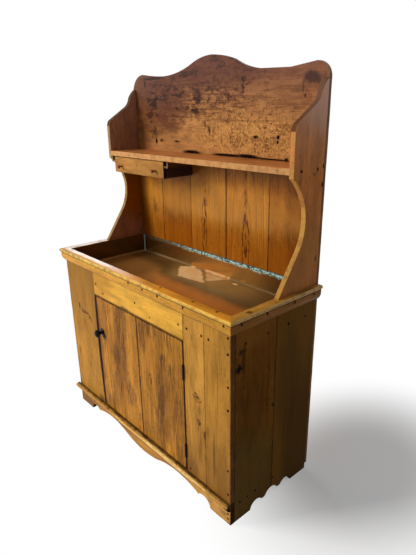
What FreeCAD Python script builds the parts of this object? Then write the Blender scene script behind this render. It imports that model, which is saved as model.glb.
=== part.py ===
import FreeCAD, Part
import os
import re
import Sketcher

# A pine dry sink: a cupboard with one boarded door and a copper-lined well in its top, and a
# hutch above it with scroll-cut sides, a shelf, a shaped crest board and a small hung drawer.
# Millimetres. X runs to the right, Y to the back, Z up. The origin is the bottom centre of the
# whole piece. Outlines are drawn from the front plane of the cupboard, and FRONT moves them back.

SIZES = (
    # the cupboard
    ("BaseWidth", 1120, "over the side boards"),
    ("SideDepth", 443, "front plane to the back edge of the side boards"),
    ("BoardThick", 20, "front and side boards"),
    ("BackThick", 12, "back boards and crest board"),
    ("EdgeEase", 0.8, "worn edge of a board"),
    ("FoldEase", 3, "worn front edge of the shelf"),
    ("RimHeight", 834, "floor to the top of the rim"),
    ("RimThick", 14, "capping of the well"),
    ("RimOverhang", 21, "capping beyond the boards"),
    ("RimNose", 5, "bulge of the rounded nose"),
    ("CorniceHeight", 42, "moulding under the capping"),
    ("CorniceOut", 15, "moulding beyond the boards"),
    ("CorniceFascia", 19, "upright face of the moulding"),
    ("CorniceToe", 3, "moulding's lower edge"),
    ("CorniceSwell", 2, "bulge of the moulding's lower slope"),
    # the front
    ("SkirtHeight", 98, "floor to the top of the skirt"),
    ("FrontFoot", 110, "length of a front foot"),
    ("FootArch", 24, "rise of the small arch beside a foot"),
    ("FootArchWidth", 70, "foot to the pointed drop"),
    ("SkirtDrop", 22, "floor to the pointed drop"),
    ("SkirtArch", 25, "rise of the long arch"),
    ("SkirtArchWidth", 270, "long arch"),
    ("SkirtSpring", 18, "floor to the long arch's inner end"),
    ("SkirtCentre", 3, "floor to the centre drop"),
    ("SkirtBelly", 4, "roundness of the centre drop"),
    ("BeadHeight", 34, "strip over the skirt's joint"),
    ("BeadOut", 21, "strip beyond the front boards"),
    ("BeadFlat", 8, "flat on top of the strip"),
    ("BeadDrop", 12, "strip's top to its furthest line"),
    ("BeadRoll", 3.6, "bulge above that line"),
    ("BeadBelly", 3, "bulge below that line"),
    ("BeadOverrun", 15, "strip past the left corner"),
    ("LeftStileWidth", 248, "front board left of the door"),
    ("RightInnerWidth", 112, "front board beside the hinges"),
    ("RightOuterWidth", 130, "front board at the right corner"),
    ("TopRailHeight", 152, "top rail, from the capping down"),
    ("StopLap", 16, "door over the upper stop rail"),
    ("SillRailHeight", 50, "lower stop rail, on the cupboard's floor"),
    ("StopThick", 22, "stop rails"),
    # the sides
    ("HutchBoardWidth", 217, "full-height rear side board"),
    ("ScallopRise", 19, "arch between two drops"),
    ("ScallopWidth", 66, "arch between two drops"),
    ("ScallopEndRise", 21, "arch beside a foot"),
    ("ScallopEndWidth", 61, "arch beside a foot"),
    ("DropHeight", 18, "floor to the drops"),
    ("DropWidth", 26, "a drop"),
    ("DropRound", 5, "roundness of a drop"),
    ("WaistStart", 976, "floor to the scroll's straight foot end"),
    ("WaistStartWidth", 120, "board's width there"),
    ("WaistDepth", 52, "bulge of the scroll"),
    ("NoseDrop", 32, "shelf's top to the point under it"),
    ("HutchTop", 1541, "floor to the top of the hutch sides"),
    ("ShoulderDrop", 39, "top to the foot of the scroll's shoulder"),
    ("ShoulderWidth", 34, "board's width there"),
    ("ShoulderCrown", 3, "bulge of the shoulder"),
    ("ScrollDrop", 78, "top to the turn below the shoulder"),
    ("ScrollWidth", 59, "board's width there"),
    ("ScrollSag", 4.5, "hollow above the turn"),
    ("LipDrop", 137, "top to the rounded front corner"),
    ("LipSet", 9, "front edge to the corner's upper end"),
    ("LipRound", 1.8, "bulge of the corner"),
    ("LipHeight", 24, "the corner"),
    # inside
    ("DadoDepth", 7, "housing for shelf, bed and floor"),
    ("WellDepth", 96, "rim to the copper's floor"),
    ("CopperThick", 1.5, "sheet copper"),
    ("CopperGap", 0.3, "copper to the boards round it"),
    ("CopperLow", 4, "rim's top to the copper's edge"),
    ("BedThick", 20, "boards under the copper"),
    ("BedFrontWidth", 205, "front board of the bed"),
    ("FloorTop", 88, "floor to the cupboard's floor"),
    ("FloorThick", 18, "cupboard's floor boards"),
    ("FloorFrontWidth", 230, "front board of the floor"),
    # the back
    ("BackBottom", 24, "floor to the back boards"),
    ("BackTop", 1262, "floor to the top of the back boards"),
    ("BackGap", 1.5, "shrinkage gap between back boards"),
    ("BackWidthOne", 200, "first back board from the left"),
    ("BackWidthTwo", 212, "second back board"),
    ("BackWidthThree", 231, "third back board"),
    ("BackWidthFour", 239, "fourth back board"),
    # the crest board
    ("CrestTop", 1652, "floor to the top of the crest"),
    ("CrownRight", 130, "centre to the turn of the curve, right"),
    ("CrownRightDrop", 25, "top to that turn"),
    ("CrownRightBulge", 4.6, "bulge of the crest's middle, right"),
    ("FlankRight", 265, "centre to the foot of the right flank"),
    ("FlankRightDrop", 66, "top to that foot"),
    ("FlankRightSag", 6.9, "hollow of the right flank"),
    ("ValleyRight", 400, "centre to the end of the right valley"),
    ("ValleyRightDrop", 70, "top to the right valley"),
    ("EarRightSet", 52, "end of the board to the right ear's top"),
    ("EarRightDrop", 57.5, "top to the right ear"),
    ("EarRightRound", 15.2, "bulge of the right ear's corner"),
    ("CrownLeft", 120, "centre to the turn of the curve, left"),
    ("CrownLeftDrop", 24, "top to that turn"),
    ("CrownLeftBulge", 6, "bulge of the crest's middle, left"),
    ("ValleyLeft", 320, "centre to the left valley"),
    ("ValleyLeftDrop", 63, "top to the left valley"),
    ("FlankLeftSag", 10, "hollow of the left flank"),
    ("EarLeftSet", 84, "end of the board to the left ear's top"),
    ("EarLeftDrop", 49, "top to the left ear"),
    ("EarLeftSag", 2.5, "hollow between valley and left ear"),
    ("EarLeftRound", 18, "bulge of the left ear's corner"),
    ("CrestEndDrop", 111, "top to the board's straight ends"),
    ("ChipDepth", 7, "worn hollow along the crest's lower edge"),
    ("ChipHeight", 15, "rise of that hollow"),
    ("ChipStart", 49, "centre to the long hollow's left end"),
    ("ChipLength", 450, "long hollow"),
    ("ChipSpace", 21, "between the hollows"),
    ("ChipShort", 130, "short hollow"),
    # the shelf and the drawer under it
    ("ShelfTop", 1267, "floor to the top of the shelf"),
    ("ShelfThick", 22, "shelf"),
    ("ShelfDepth", 162, "shelf and widest part of the hutch sides"),
    ("DrawerWidth", 382, "drawer front"),
    ("DrawerHeight", 70, "drawer front"),
    ("DrawerFrontThick", 18, "drawer front"),
    ("DrawerSideThick", 10, "drawer sides and back"),
    ("DrawerBottomThick", 6, "drawer bottom"),
    ("DrawerBottomRise", 8, "drawer's lower edge to its bottom board"),
    ("DrawerGroove", 4, "groove for the bottom board"),
    ("DrawerSideShort", 6, "drawer sides lower than the front"),
    ("DrawerTopGap", 3, "shelf to the drawer front"),
    ("DrawerBackGap", 3, "drawer to the back boards"),
    ("RunnerZone", 28, "hutch side to the drawer front"),
    ("RunnerThick", 8, "runners"),
    ("RunnerHeight", 28, "runners"),
    ("RunnerLip", 24, "runner's foot"),
    ("RunnerSet", 2, "shelf's front to a runner's end"),
    ("HangerPlay", 1.5, "hanger to the runner's upright"),
    ("HangerRide", 0.3, "hanger over the runner's foot"),
    ("HangerHeight", 15, "hanging cleats"),
    ("PullRadius", 9, "drawer knob's head"),
    ("PullNeck", 4, "drawer knob's neck"),
    ("PullReach", 24, "drawer knob's length"),
    ("PullHead", 10, "length of its head"),
    ("PullTenon", 3.5, "radius of its tenon"),
    ("PullSet", 132, "drawer's middle to a knob"),
    ("PullHeight", 28, "drawer's lower edge to its knobs"),
    # the door
    ("DoorGap", 4, "door to the stiles"),
    ("DoorTopGap", 3, "door to the top rail"),
    ("DoorFootGap", 2.5, "door to the strip under it"),
    ("DoorLeftWidth", 325, "left door board"),
    ("DoorSeam", 0.6, "seam of the door boards"),
    ("BattenHeight", 78, "door battens"),
    ("BattenThick", 18, "door battens"),
    ("BattenSet", 24, "door's edge to a batten's end"),
    ("BattenLow", 60, "door's foot to the lower batten"),
    ("BattenHigh", 60, "door's head to the upper batten"),
    # the hinges
    ("HingeLength", 61, "butt hinge"),
    ("HingeUpper", 122, "door's head to the upper hinge's middle"),
    ("HingeLower", 93.5, "door's foot to the lower hinge's middle"),
    ("KnuckleRadius", 4, "hinge barrel"),
    ("PinRadius", 1.5, "hinge pin"),
    ("PinClearance", 0.05, "pin in the moving knuckles"),
    ("PinHead", 2, "height of the pin's head"),
    ("LeafThick", 1.8, "hinge leaf"),
    ("LeafDepth", 17, "leaf behind the front plane"),
    ("KnuckleGap", 0.3, "knuckle to knuckle"),
    # the latch
    ("LatchDrop", 31, "upper batten to the latch"),
    ("LatchSet", 36, "door's edge to the latch"),
    ("RoseRadius", 19, "iron rose"),
    ("RoseThick", 4, "iron rose"),
    ("RoseBevel", 1.5, "sloped edge of the rose"),
    ("SpindleRadius", 5, "knob's spindle"),
    ("SpindleClearance", 0.08, "spindle in the rose and the door"),
    ("NeckRadius", 8, "knob's neck"),
    ("NeckReach", 16, "rose to the knob's head"),
    ("KnobGap", 0.3, "rose to the neck"),
    ("KnobRadius", 18, "knob's head"),
    ("KnobRim", 3, "straight part of the knob's head"),
    ("KnobBack", 5, "sloped back of the knob's head"),
    ("KnobDome", 10, "domed part of the knob's head"),
    ("SpindleTail", 2, "spindle past the tongue"),
    ("TongueLength", 62, "pivot to the end of the latch tongue"),
    ("TongueTip", 12, "latch tongue's end"),
    ("TongueWidth", 20, "latch tongue at its pivot"),
    ("TongueThick", 7, "latch tongue"),
    ("TongueGap", 0.5, "door's back to the tongue"),
    # nails
    ("NailLength", 40, "cut nails"),
    ("BradLength", 30, "shorter cut nails"),
    ("NailShank", 2.6, "cut nails at the head"),
    ("NailTip", 1.2, "cut nails at the tip"),
    ("NailHead", 6, "rose head's side"),
    ("NailCentre", 2.5, "flat at the middle of the head"),
    ("NailCrown", 0.8, "rose head's rise"),
    ("NailSet", 30, "edge of the opening to the nails above and below it"),
)

doc = FreeCAD.newDocument("DrySink")
sheet = doc.addObject("Spreadsheet::Sheet", "Sizes")
for row, (alias, size, note) in enumerate(SIZES, start=1):
    sheet.set("A%d" % row, alias)
    sheet.set("B%d" % row, str(size))
    sheet.set("C%d" % row, note)
    sheet.setAlias("B%d" % row, alias)
doc.recompute()

PARTS = []
ALONG_X = FreeCAD.Vector(1, 0, 0)
ALONG_Y = FreeCAD.Vector(0, 1, 0)
ALONG_Z = FreeCAD.Vector(0, 0, 1)

# Places that several pieces share, as expressions over the sheet.
HALF = "(BaseWidth / 2)"
INNER = "(BaseWidth / 2 - BoardThick)"
KNOB_REACH = "(RoseThick + KnobGap + NeckReach + KnobBack + KnobRim + KnobDome)"
FRONT = "((%s - SideDepth - BackThick - NailCrown) / 2)" % KNOB_REACH
BACK = "(%s + SideDepth)" % FRONT
CAP = "(RimHeight - RimThick)"
BED_TOP = "(RimHeight - WellDepth - CopperThick)"
SIDE_JOINT = "(SideDepth - HutchBoardWidth)"
OPEN_LEFT = "(LeftStileWidth - BaseWidth / 2)"
OPEN_RIGHT = "(BaseWidth / 2 - RightInnerWidth - RightOuterWidth)"
DOOR_LEFT = "(%s + DoorGap)" % OPEN_LEFT
DOOR_RIGHT = "(%s - DoorGap)" % OPEN_RIGHT
DOOR_FOOT = "(SkirtHeight + DoorFootGap)"
OPEN_TOP = "(%s - TopRailHeight)" % CAP
DOOR_HEAD = "(%s - DoorTopGap)" % OPEN_TOP
SHELF_FRONT = "(%s - ShelfDepth)" % BACK
SHELF_BASE = "(ShelfTop - ShelfThick)"
DRAWER_LEFT = "(RunnerZone - %s)" % INNER
DRAWER_BASE = "(%s - DrawerTopGap - DrawerHeight)" % SHELF_BASE
DRAWER_LENGTH = "(ShelfDepth - DrawerBackGap)"
HANGER_BASE = "(%s - RunnerHeight + RunnerThick + HangerRide)" % SHELF_BASE
LATCH_X = "(%s + LatchSet)" % DOOR_LEFT
LATCH_Z = "(%s - BattenHigh - BattenHeight - LatchDrop)" % DOOR_HEAD
HINGE_X = "(%s - DoorGap / 2)" % OPEN_RIGHT
HINGE_HEIGHTS = {
    "upper": "(%s - HingeUpper)" % DOOR_HEAD,
    "lower": "(%s + HingeLower)" % DOOR_FOOT,
}


def named(text):
    """An expression whose size names point at the sheet."""
    return re.sub(r"\b([A-Z][A-Za-z]+)\b", r"Sizes.\1", text)


def value(text):
    """What an expression over the sheet comes to."""
    return float(sheet.evalExpression(named(text)))


def bind(thing, **properties):
    """Tie properties of a feature to expressions over the sheet."""
    for name, text in properties.items():
        thing.setExpression(name, named(text))


def place(thing, x="0", y="0", z="0"):
    """Tie where a feature or body stands to the sheet."""
    for axis, text in zip("xyz", (x, y, z)):
        if text != "0":
            thing.setExpression("Placement.Base." + axis, named(text))


def new_body(name, x="0", y="0", z="0"):
    """One sub-part of the piece."""
    made = doc.addObject("PartDesign::Body", name)
    made.Label = name
    place(made, x, y, z)
    PARTS.append(made)
    return made


def block(owner, kind, label, at, size):
    """A box added to a body or taken from it, at a place in the body's own frame."""
    made = owner.newObject("PartDesign::%sBox" % kind, "%s_%s" % (owner.Name, label))
    bind(made, Length=size[0], Width=size[1], Height=size[2])
    place(made, *at)
    return made


def ease(owner, base, size="EdgeEase"):
    """Worn edges all round the last feature of a body."""
    doc.recompute()
    made = owner.newObject("PartDesign::Chamfer", owner.Name + "_worn")
    made.Base = (base, ["Edge1"])
    made.UseAllEdges = True
    bind(made, Size=size)
    return made


def ease_straight(owner, base, across):
    """Worn edges along the straight sides of a shaped board. across is its thin direction."""
    doc.recompute()
    edges = []
    for index, edge in enumerate(base.Shape.Edges, start=1):
        straight = isinstance(edge.Curve, Part.Line)
        if straight and abs(edge.Curve.Direction.dot(across)) < 0.001:
            edges.append("Edge%d" % index)
    made = owner.newObject("PartDesign::Chamfer", owner.Name + "_worn")
    made.Base = (base, edges)
    bind(made, Size="EdgeEase")
    return made


def board(name, at, size):
    """A plain sawn board with worn edges."""
    made = new_body(name, *at)
    ease(made, block(made, "Additive", "board", ("0", "0", "0"), size))
    return made


def bulged(start, end, rise):
    """The arc between two corners that bulges to the left of the way from one to the other."""
    along = end.sub(start)
    left = FreeCAD.Vector(-along.y, along.x, 0).normalize()
    middle = start.add(end).multiply(0.5).add(left.multiply(rise))
    if rise > 0:
        return Part.Arc(end, middle, start)
    return Part.Arc(start, middle, end)


def mirrored(half):
    """The other half of a path that starts at the middle, drawn back to the middle."""
    turned = []
    for index, step in reversed(list(enumerate(half))):
        across = step[0] if step[0] == "0" else "-(%s)" % step[0]
        following = half[index + 1][2:] if index + 1 < len(half) else ()
        turned.append((across, step[1]) + following)
    return turned


def hold(sketch, edge, corner, axis, text):
    """Hold one coordinate of a corner to the sheet."""
    if text == "0":
        rail = -2 if axis == "X" else -1
        sketch.addConstraint(Sketcher.Constraint("PointOnObject", edge, corner, rail))
        return
    rule = Sketcher.Constraint("Distance" + axis, -1, 1, edge, corner, value(text))
    index = sketch.addConstraint(rule)
    sketch.setExpression("Constraints[%d]" % index, named(text))


def add_loop(sketch, path):
    """A closed outline. A step is the corner's two coordinates, with the rise of the arc that
    leads to it where the edge is curved, to the left of the way it is drawn."""
    first = sketch.GeometryCount
    count = len(path)
    corners = [FreeCAD.Vector(value(step[0]), value(step[1]), 0) for step in path]
    ends = []
    for index, step in enumerate(path):
        start = corners[index - 1]
        end = corners[index]
        rise = value(step[2]) if len(step) == 3 else 0
        if rise:
            sketch.addGeometry(bulged(start, end, rise), False)
        else:
            sketch.addGeometry(Part.LineSegment(start, end), False)
        ends.append((2, 1) if rise > 0 else (1, 2))
    for index in range(count):
        following = (index + 1) % count
        join = (first + index, ends[index][1], first + following, ends[following][0])
        sketch.addConstraint(Sketcher.Constraint("Coincident", *join))
    for index, step in enumerate(path):
        hold(sketch, first + index, ends[index][1], "X", step[0])
        hold(sketch, first + index, ends[index][1], "Y", step[1])
    for index, step in enumerate(path):
        if len(step) == 3:
            before = path[index - 1]
            span = "((%s) - (%s)) ^ 2 + ((%s) - (%s)) ^ 2" % (step[0], before[0], step[1], before[1])
            radius = "(%s) / (8 * abs(%s)) + abs(%s) / 2" % (span, step[2], step[2])
            rule = Sketcher.Constraint("Radius", first + index, value(radius))
            held = sketch.addConstraint(rule)
            sketch.setExpression("Constraints[%d]" % held, named(radius))


def sketch_on(owner, role, label, *loops):
    """A sketch on one of a body's own planes."""
    made = owner.newObject("Sketcher::SketchObject", "%s_%s" % (owner.Name, label))
    plane = [item for item in owner.Origin.OriginFeatures if item.Role == role][0]
    made.AttachmentSupport = [(plane, "")]
    made.MapMode = "FlatFace"
    for loop in loops:
        add_loop(made, loop)
    return made


def pad(owner, sketch, length, reverse=False):
    """Wood or metal grown from a sketch."""
    made = owner.newObject("PartDesign::Pad", owner.Name + "_pad")
    made.Profile = (sketch, [""])
    made.Reversed = reverse
    bind(made, Length=length)
    return made


def pocket(owner, sketch, length, reverse=False):
    """Wood or metal taken away along a sketch."""
    made = owner.newObject("PartDesign::Pocket", sketch.Name + "_pocket")
    made.Profile = (sketch, [""])
    made.Reversed = reverse
    bind(made, Length=length)
    return made


def turn(owner, path):
    """A turned shape about the body's own Y axis, drawn as (radius, along Y)."""
    outline = sketch_on(owner, "XY_Plane", "profile", path)
    made = owner.newObject("PartDesign::Revolution", owner.Name + "_turned")
    made.Profile = (outline, [""])
    made.ReferenceAxis = (outline, ["V_Axis"])
    made.Angle = 360
    return made


def bore(owner, label, at, radius, depth):
    """A round hole through a board from its front face."""
    made = owner.newObject("PartDesign::SubtractiveCylinder", "%s_%s" % (owner.Name, label))
    made.Placement.Rotation = FreeCAD.Rotation(ALONG_X, -90)
    bind(made, Radius=radius, Height=depth)
    place(made, *at)
    return made


def group(name, pieces):
    """Like pieces kept as separate solids under one name."""
    made = doc.addObject("Part::Compound", name)
    made.Label = name
    made.Links = pieces
    PARTS.append(made)
    return made


# --- the sides ---------------------------------------------------------------------------


def scallops(way):
    """Half of a side's lower edge, from the joint of its boards to a foot, with the joint as
    zero. way is -1 for the front board and 1 for the rear one, drawn the same way."""
    arch = "(ScallopWidth ^ 2 / (8 * ScallopRise) + ScallopRise / 2)"
    chord = "(ScallopWidth ^ 2 / 4 + ScallopRise ^ 2)"
    crown = "(%s - sqrt(%s ^ 2 - %s / 4))" % (arch, arch, chord)
    spring = "(%d * ScallopWidth / 2)" % way
    drop = "(%d * (ScallopWidth / 2 + DropWidth))" % way
    foot = "(%d * (ScallopWidth / 2 + DropWidth + ScallopEndWidth))" % way
    return [
        ("0", "DropHeight + ScallopRise"),
        (spring, "DropHeight", "%d * %s" % (way, crown)),
        (drop, "DropHeight", "%d * DropRound" % -way),
        (foot, "0", "%d * ScallopEndRise" % way),
    ]


def dadoes(owner, hand, front, length, heights):
    """Housings across a side board's inner face: (label, foot, height) each."""
    inner = "0" if hand > 0 else "BoardThick - DadoDepth"
    for label, foot, height in heights:
        block(owner, "Subtractive", label, (inner, front, foot), ("DadoDepth", length, height))


FLOOR_DADO = ("floor_dado", "FloorTop - FloorThick", "FloorThick")
BED_DADO = ("bed_dado", "%s - BedThick" % BED_TOP, "BedThick")
SHELF_DADO = ("shelf_dado", SHELF_BASE, "ShelfThick")


def side_boards(side, hand):
    """The two boards of one side; the rear one runs on up as the side of the hutch."""
    outer = "-" + HALF if hand < 0 else INNER
    joint = "%s + %s" % (FRONT, SIDE_JOINT)
    width = "(%s - BoardThick)" % SIDE_JOINT
    front = new_body("side_front_" + side, outer, joint)
    lower = scallops(-1) + [("-%s" % width, "0"), ("-%s" % width, CAP), ("0", CAP)]
    shape = pad(front, sketch_on(front, "YZ_Plane", "outline", lower), "BoardThick")
    ease_straight(front, shape, ALONG_X)
    dadoes(front, hand, "-%s" % width, width, (FLOOR_DADO, BED_DADO))

    rear = new_body("side_rear_" + side, outer, joint)
    nose = "HutchBoardWidth - ShelfDepth"
    scroll = [
        ("HutchBoardWidth", "0"),
        ("HutchBoardWidth", "HutchTop"),
        ("HutchBoardWidth - ShoulderWidth", "HutchTop - ShoulderDrop", "-ShoulderCrown"),
        ("HutchBoardWidth - ScrollWidth", "HutchTop - ScrollDrop", "ScrollSag"),
        (nose + " + LipSet", "HutchTop - LipDrop"),
        (nose, "HutchTop - LipDrop - LipHeight", "-LipRound"),
        (nose, "ShelfTop - NoseDrop"),
        ("HutchBoardWidth - WaistStartWidth", "WaistStart", "WaistDepth"),
        ("0", "RimHeight"),
    ]
    outline = sketch_on(rear, "YZ_Plane", "outline", scallops(1) + scroll)
    ease_straight(rear, pad(rear, outline, "BoardThick"), ALONG_X)
    dadoes(rear, hand, "0", "HutchBoardWidth", (FLOOR_DADO, BED_DADO, SHELF_DADO))


side_boards("left", -1)
side_boards("right", 1)

# --- the front ---------------------------------------------------------------------------

STILE_HEIGHT = "%s - SkirtHeight" % CAP
board("left_stile", ("-" + HALF, FRONT, "SkirtHeight"), ("LeftStileWidth", "BoardThick", STILE_HEIGHT))
board("right_stile_inner", (OPEN_RIGHT, FRONT, "SkirtHeight"),
      ("RightInnerWidth", "BoardThick", STILE_HEIGHT))
board("right_stile_outer", ("%s - RightOuterWidth" % HALF, FRONT, "SkirtHeight"),
      ("RightOuterWidth", "BoardThick", STILE_HEIGHT))
board("top_rail", (OPEN_LEFT, FRONT, OPEN_TOP),
      ("%s - %s" % (OPEN_RIGHT, OPEN_LEFT), "BoardThick", "TopRailHeight"))


def skirt():
    """The shaped board along the foot of the front."""
    made = new_body("front_skirt", "0", FRONT)
    foot = "(%s - FrontFoot)" % HALF
    drop = "(%s - FootArchWidth)" % foot
    spring = "(%s - SkirtArchWidth)" % drop
    half = [
        ("0", "SkirtCentre"),
        (spring, "SkirtSpring", "-SkirtBelly"),
        (drop, "SkirtDrop", "SkirtArch"),
        (foot, "0", "FootArch"),
        (HALF, "0"),
        (HALF, "SkirtHeight"),
    ]
    outline = sketch_on(made, "XZ_Plane", "outline", half[1:] + mirrored(half))
    ease_straight(made, pad(made, outline, "BoardThick", reverse=True), ALONG_Y)


def bead():
    """The half-round strip over the joint of the skirt and the boards above it."""
    made = new_body("base_bead", "-%s - BeadOverrun" % HALF, FRONT)
    section = [
        ("0", "SkirtHeight"),
        ("-BeadFlat", "SkirtHeight"),
        ("-BeadOut", "SkirtHeight - BeadDrop", "-BeadRoll"),
        ("0", "SkirtHeight - BeadHeight", "-BeadBelly"),
    ]
    pad(made, sketch_on(made, "YZ_Plane", "section", section), "BaseWidth + BeadOverrun")


skirt()
bead()
board("door_head_rail", ("-" + INNER, "%s + BoardThick" % FRONT, "%s - StopLap" % DOOR_HEAD),
      ("2 * " + INNER, "StopThick", "%s - BedThick - %s + StopLap" % (BED_TOP, DOOR_HEAD)))
board("door_sill_rail", ("-" + INNER, "%s + BoardThick" % FRONT, "FloorTop"),
      ("2 * " + INNER, "StopThick", "SillRailHeight"))

# --- the moulding and the capping round the well -----------------------------------------

RIM_SECTION = [
    ("-BoardThick", CAP),
    ("-BoardThick", "RimHeight"),
    ("RimOverhang - RimNose", "RimHeight"),
    ("RimOverhang - RimNose", CAP, "RimNose"),
]
CORNICE_SECTION = [
    ("0", CAP),
    ("CorniceOut", CAP),
    ("CorniceOut", "%s - CorniceFascia" % CAP),
    ("CorniceToe", "%s - CorniceHeight" % CAP, "CorniceSwell"),
    ("0", "%s - CorniceHeight" % CAP),
]


def flipped(section):
    """A section with its outer side turned the other way."""
    turned = []
    for step in section:
        rise = tuple("-(%s)" % text for text in step[2:])
        across = step[0] if step[0] == "0" else "-(%s)" % step[0]
        turned.append((across, step[1]) + rise)
    return turned


def front_moulding(name, section, out, inward):
    """A moulding along the front, mitred at both ends. out is how far it stands beyond the
    boards, and inward how far it reaches over them."""
    made = new_body(name, "-%s - %s" % (HALF, out), FRONT)
    length = "(BaseWidth + 2 * %s)" % out
    pad(made, sketch_on(made, "YZ_Plane", "section", flipped(section)), length)
    left = [
        ("-1", "-%s - 1" % out),
        ("%s + %s + 1" % (inward, out), "%s + 1" % inward),
        ("-1", "%s + 1" % inward),
    ]
    right = [("%s - (%s)" % (length, step[0]), step[1]) for step in left]
    cuts = sketch_on(made, "XY_Plane", "mitres", left, right)
    pocket(made, cuts, "RimHeight + 1", reverse=True)
    return made


def side_moulding(name, hand, section, out, inward):
    """A moulding along one side, mitred at the front and cut flush with the back boards."""
    made = new_body(name, "%d * %s" % (hand, HALF), "%s - %s" % (FRONT, out))
    profile = section if hand > 0 else flipped(section)
    length = "%s + SideDepth + BackThick" % out
    pad(made, sketch_on(made, "XZ_Plane", "section", profile), length, reverse=True)
    corner = [
        ("%d * (%s + 1)" % (hand, out), "-1"),
        ("%d * (%s + 1)" % (-hand, inward), "%s + %s + 1" % (out, inward)),
        ("%d * (%s + 1)" % (-hand, inward), "-1"),
    ]
    pocket(made, sketch_on(made, "XY_Plane", "mitre", corner), "RimHeight + 1", reverse=True)
    return made


def side_rim(name, hand):
    """The capping over one side, notched round the hutch side that rises through it."""
    made = side_moulding(name, hand, RIM_SECTION, "RimOverhang", "BoardThick")
    inner = "-BoardThick" if hand > 0 else "0"
    block(made, "Subtractive", "notch", (inner, "RimOverhang + %s" % SIDE_JOINT, CAP),
          ("BoardThick", "HutchBoardWidth + BackThick", "RimThick"))


front_moulding("cornice_front", CORNICE_SECTION, "CorniceOut", "0")
side_moulding("cornice_left", -1, CORNICE_SECTION, "CorniceOut", "0")
side_moulding("cornice_right", 1, CORNICE_SECTION, "CorniceOut", "0")
front_moulding("rim_front", RIM_SECTION, "RimOverhang", "BoardThick")
side_rim("rim_left", -1)
side_rim("rim_right", 1)

# --- the well and the cupboard's floor ---------------------------------------------------


def housed_boards(name, top, thick, front_width):
    """Two boards across the cupboard, their ends in the dadoes of the sides."""
    inside = "(SideDepth - BoardThick)"
    left = "-%s - DadoDepth" % INNER
    length = "2 * (%s + DadoDepth)" % INNER
    foot = "%s - %s" % (top, thick)
    board(name + "_front", (left, "%s + BoardThick" % FRONT, foot), (length, front_width, thick))
    board(name + "_rear", (left, "%s + BoardThick + %s" % (FRONT, front_width), foot),
          (length, "%s - %s" % (inside, front_width), thick))


housed_boards("sink_bed", BED_TOP, "BedThick", "BedFrontWidth")
housed_boards("floor_board", "FloorTop", "FloorThick", "FloorFrontWidth")


def liner():
    """The tray of sheet copper that lines the well."""
    made = new_body("sink_liner", "CopperGap - " + INNER, "%s + BoardThick + CopperGap" % FRONT, BED_TOP)
    length = "(2 * (%s - CopperGap))" % INNER
    depth = "(SideDepth - BoardThick - 2 * CopperGap)"
    height = "(WellDepth + CopperThick - CopperLow)"
    block(made, "Additive", "sheet", ("0", "0", "0"), (length, depth, height))
    block(made, "Subtractive", "well", ("CopperThick", "CopperThick", "CopperThick"),
          ("%s - 2 * CopperThick" % length, "%s - 2 * CopperThick" % depth, height))


liner()

# --- the back ----------------------------------------------------------------------------


def back_boards():
    """The upright boards of the back, nailed over the sides' back edges."""
    widths = ["BackWidthOne", "BackWidthTwo", "BackWidthThree", "BackWidthFour"]
    widths.append("(BaseWidth - %s)" % " - ".join(widths))
    left = "-" + HALF
    for number, width in enumerate(widths, start=1):
        start = left if number == 1 else "%s + BackGap / 2" % left
        gaps = "BackGap / 2" if number in (1, len(widths)) else "BackGap"
        board("back_board_%d" % number, (start, BACK, "BackBottom"),
              ("%s - %s" % (width, gaps), "BackThick", "BackTop - BackBottom"))
        left = "%s + %s" % (left, width)


def crest():
    """The wide board across the top of the back, with its sawn outline."""
    made = new_body("crest_board", "0", BACK)
    top, end = ("0", "CrestTop"), (HALF, "CrestTop - CrestEndDrop")
    right = [
        ("CrownRight", "CrestTop - CrownRightDrop", "CrownRightBulge"),
        ("FlankRight", "CrestTop - FlankRightDrop", "-FlankRightSag"),
        ("ValleyRight", "CrestTop - ValleyRightDrop"),
        ("%s - EarRightSet" % HALF, "CrestTop - EarRightDrop"),
        end + ("EarRightRound",),
        (HALF, "BackTop"),
    ]
    left = [
        top,
        ("CrownLeft", "CrestTop - CrownLeftDrop", "CrownLeftBulge"),
        ("ValleyLeft", "CrestTop - ValleyLeftDrop", "-FlankLeftSag"),
        ("%s - EarLeftSet" % HALF, "CrestTop - EarLeftDrop", "-EarLeftSag"),
        end + ("EarLeftRound",),
        (HALF, "BackTop"),
    ]
    outline = sketch_on(made, "XZ_Plane", "outline", right + mirrored(left))
    pad(made, outline, "BackThick", reverse=True)
    long_hollow = [
        ("-ChipStart", "BackTop", "-ChipHeight"),
        ("ChipLength - ChipStart", "BackTop"),
    ]
    short_hollow = [
        ("-ChipStart - ChipSpace - ChipShort", "BackTop", "-ChipHeight"),
        ("-ChipStart - ChipSpace", "BackTop"),
    ]
    hollows = sketch_on(made, "XZ_Plane", "hollows", long_hollow, short_hollow)
    pocket(made, hollows, "ChipDepth")


back_boards()
crest()

# --- the shelf and its drawer ------------------------------------------------------------


def shelf():
    """The shelf, its ends in dadoes that run out through the hutch sides' front edges."""
    made = new_body("hutch_shelf", "-%s - DadoDepth" % INNER, SHELF_FRONT, SHELF_BASE)
    wood = block(made, "Additive", "board", ("0", "0", "0"),
                 ("2 * (%s + DadoDepth)" % INNER, "ShelfDepth", "ShelfThick"))
    ease(made, wood)


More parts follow.
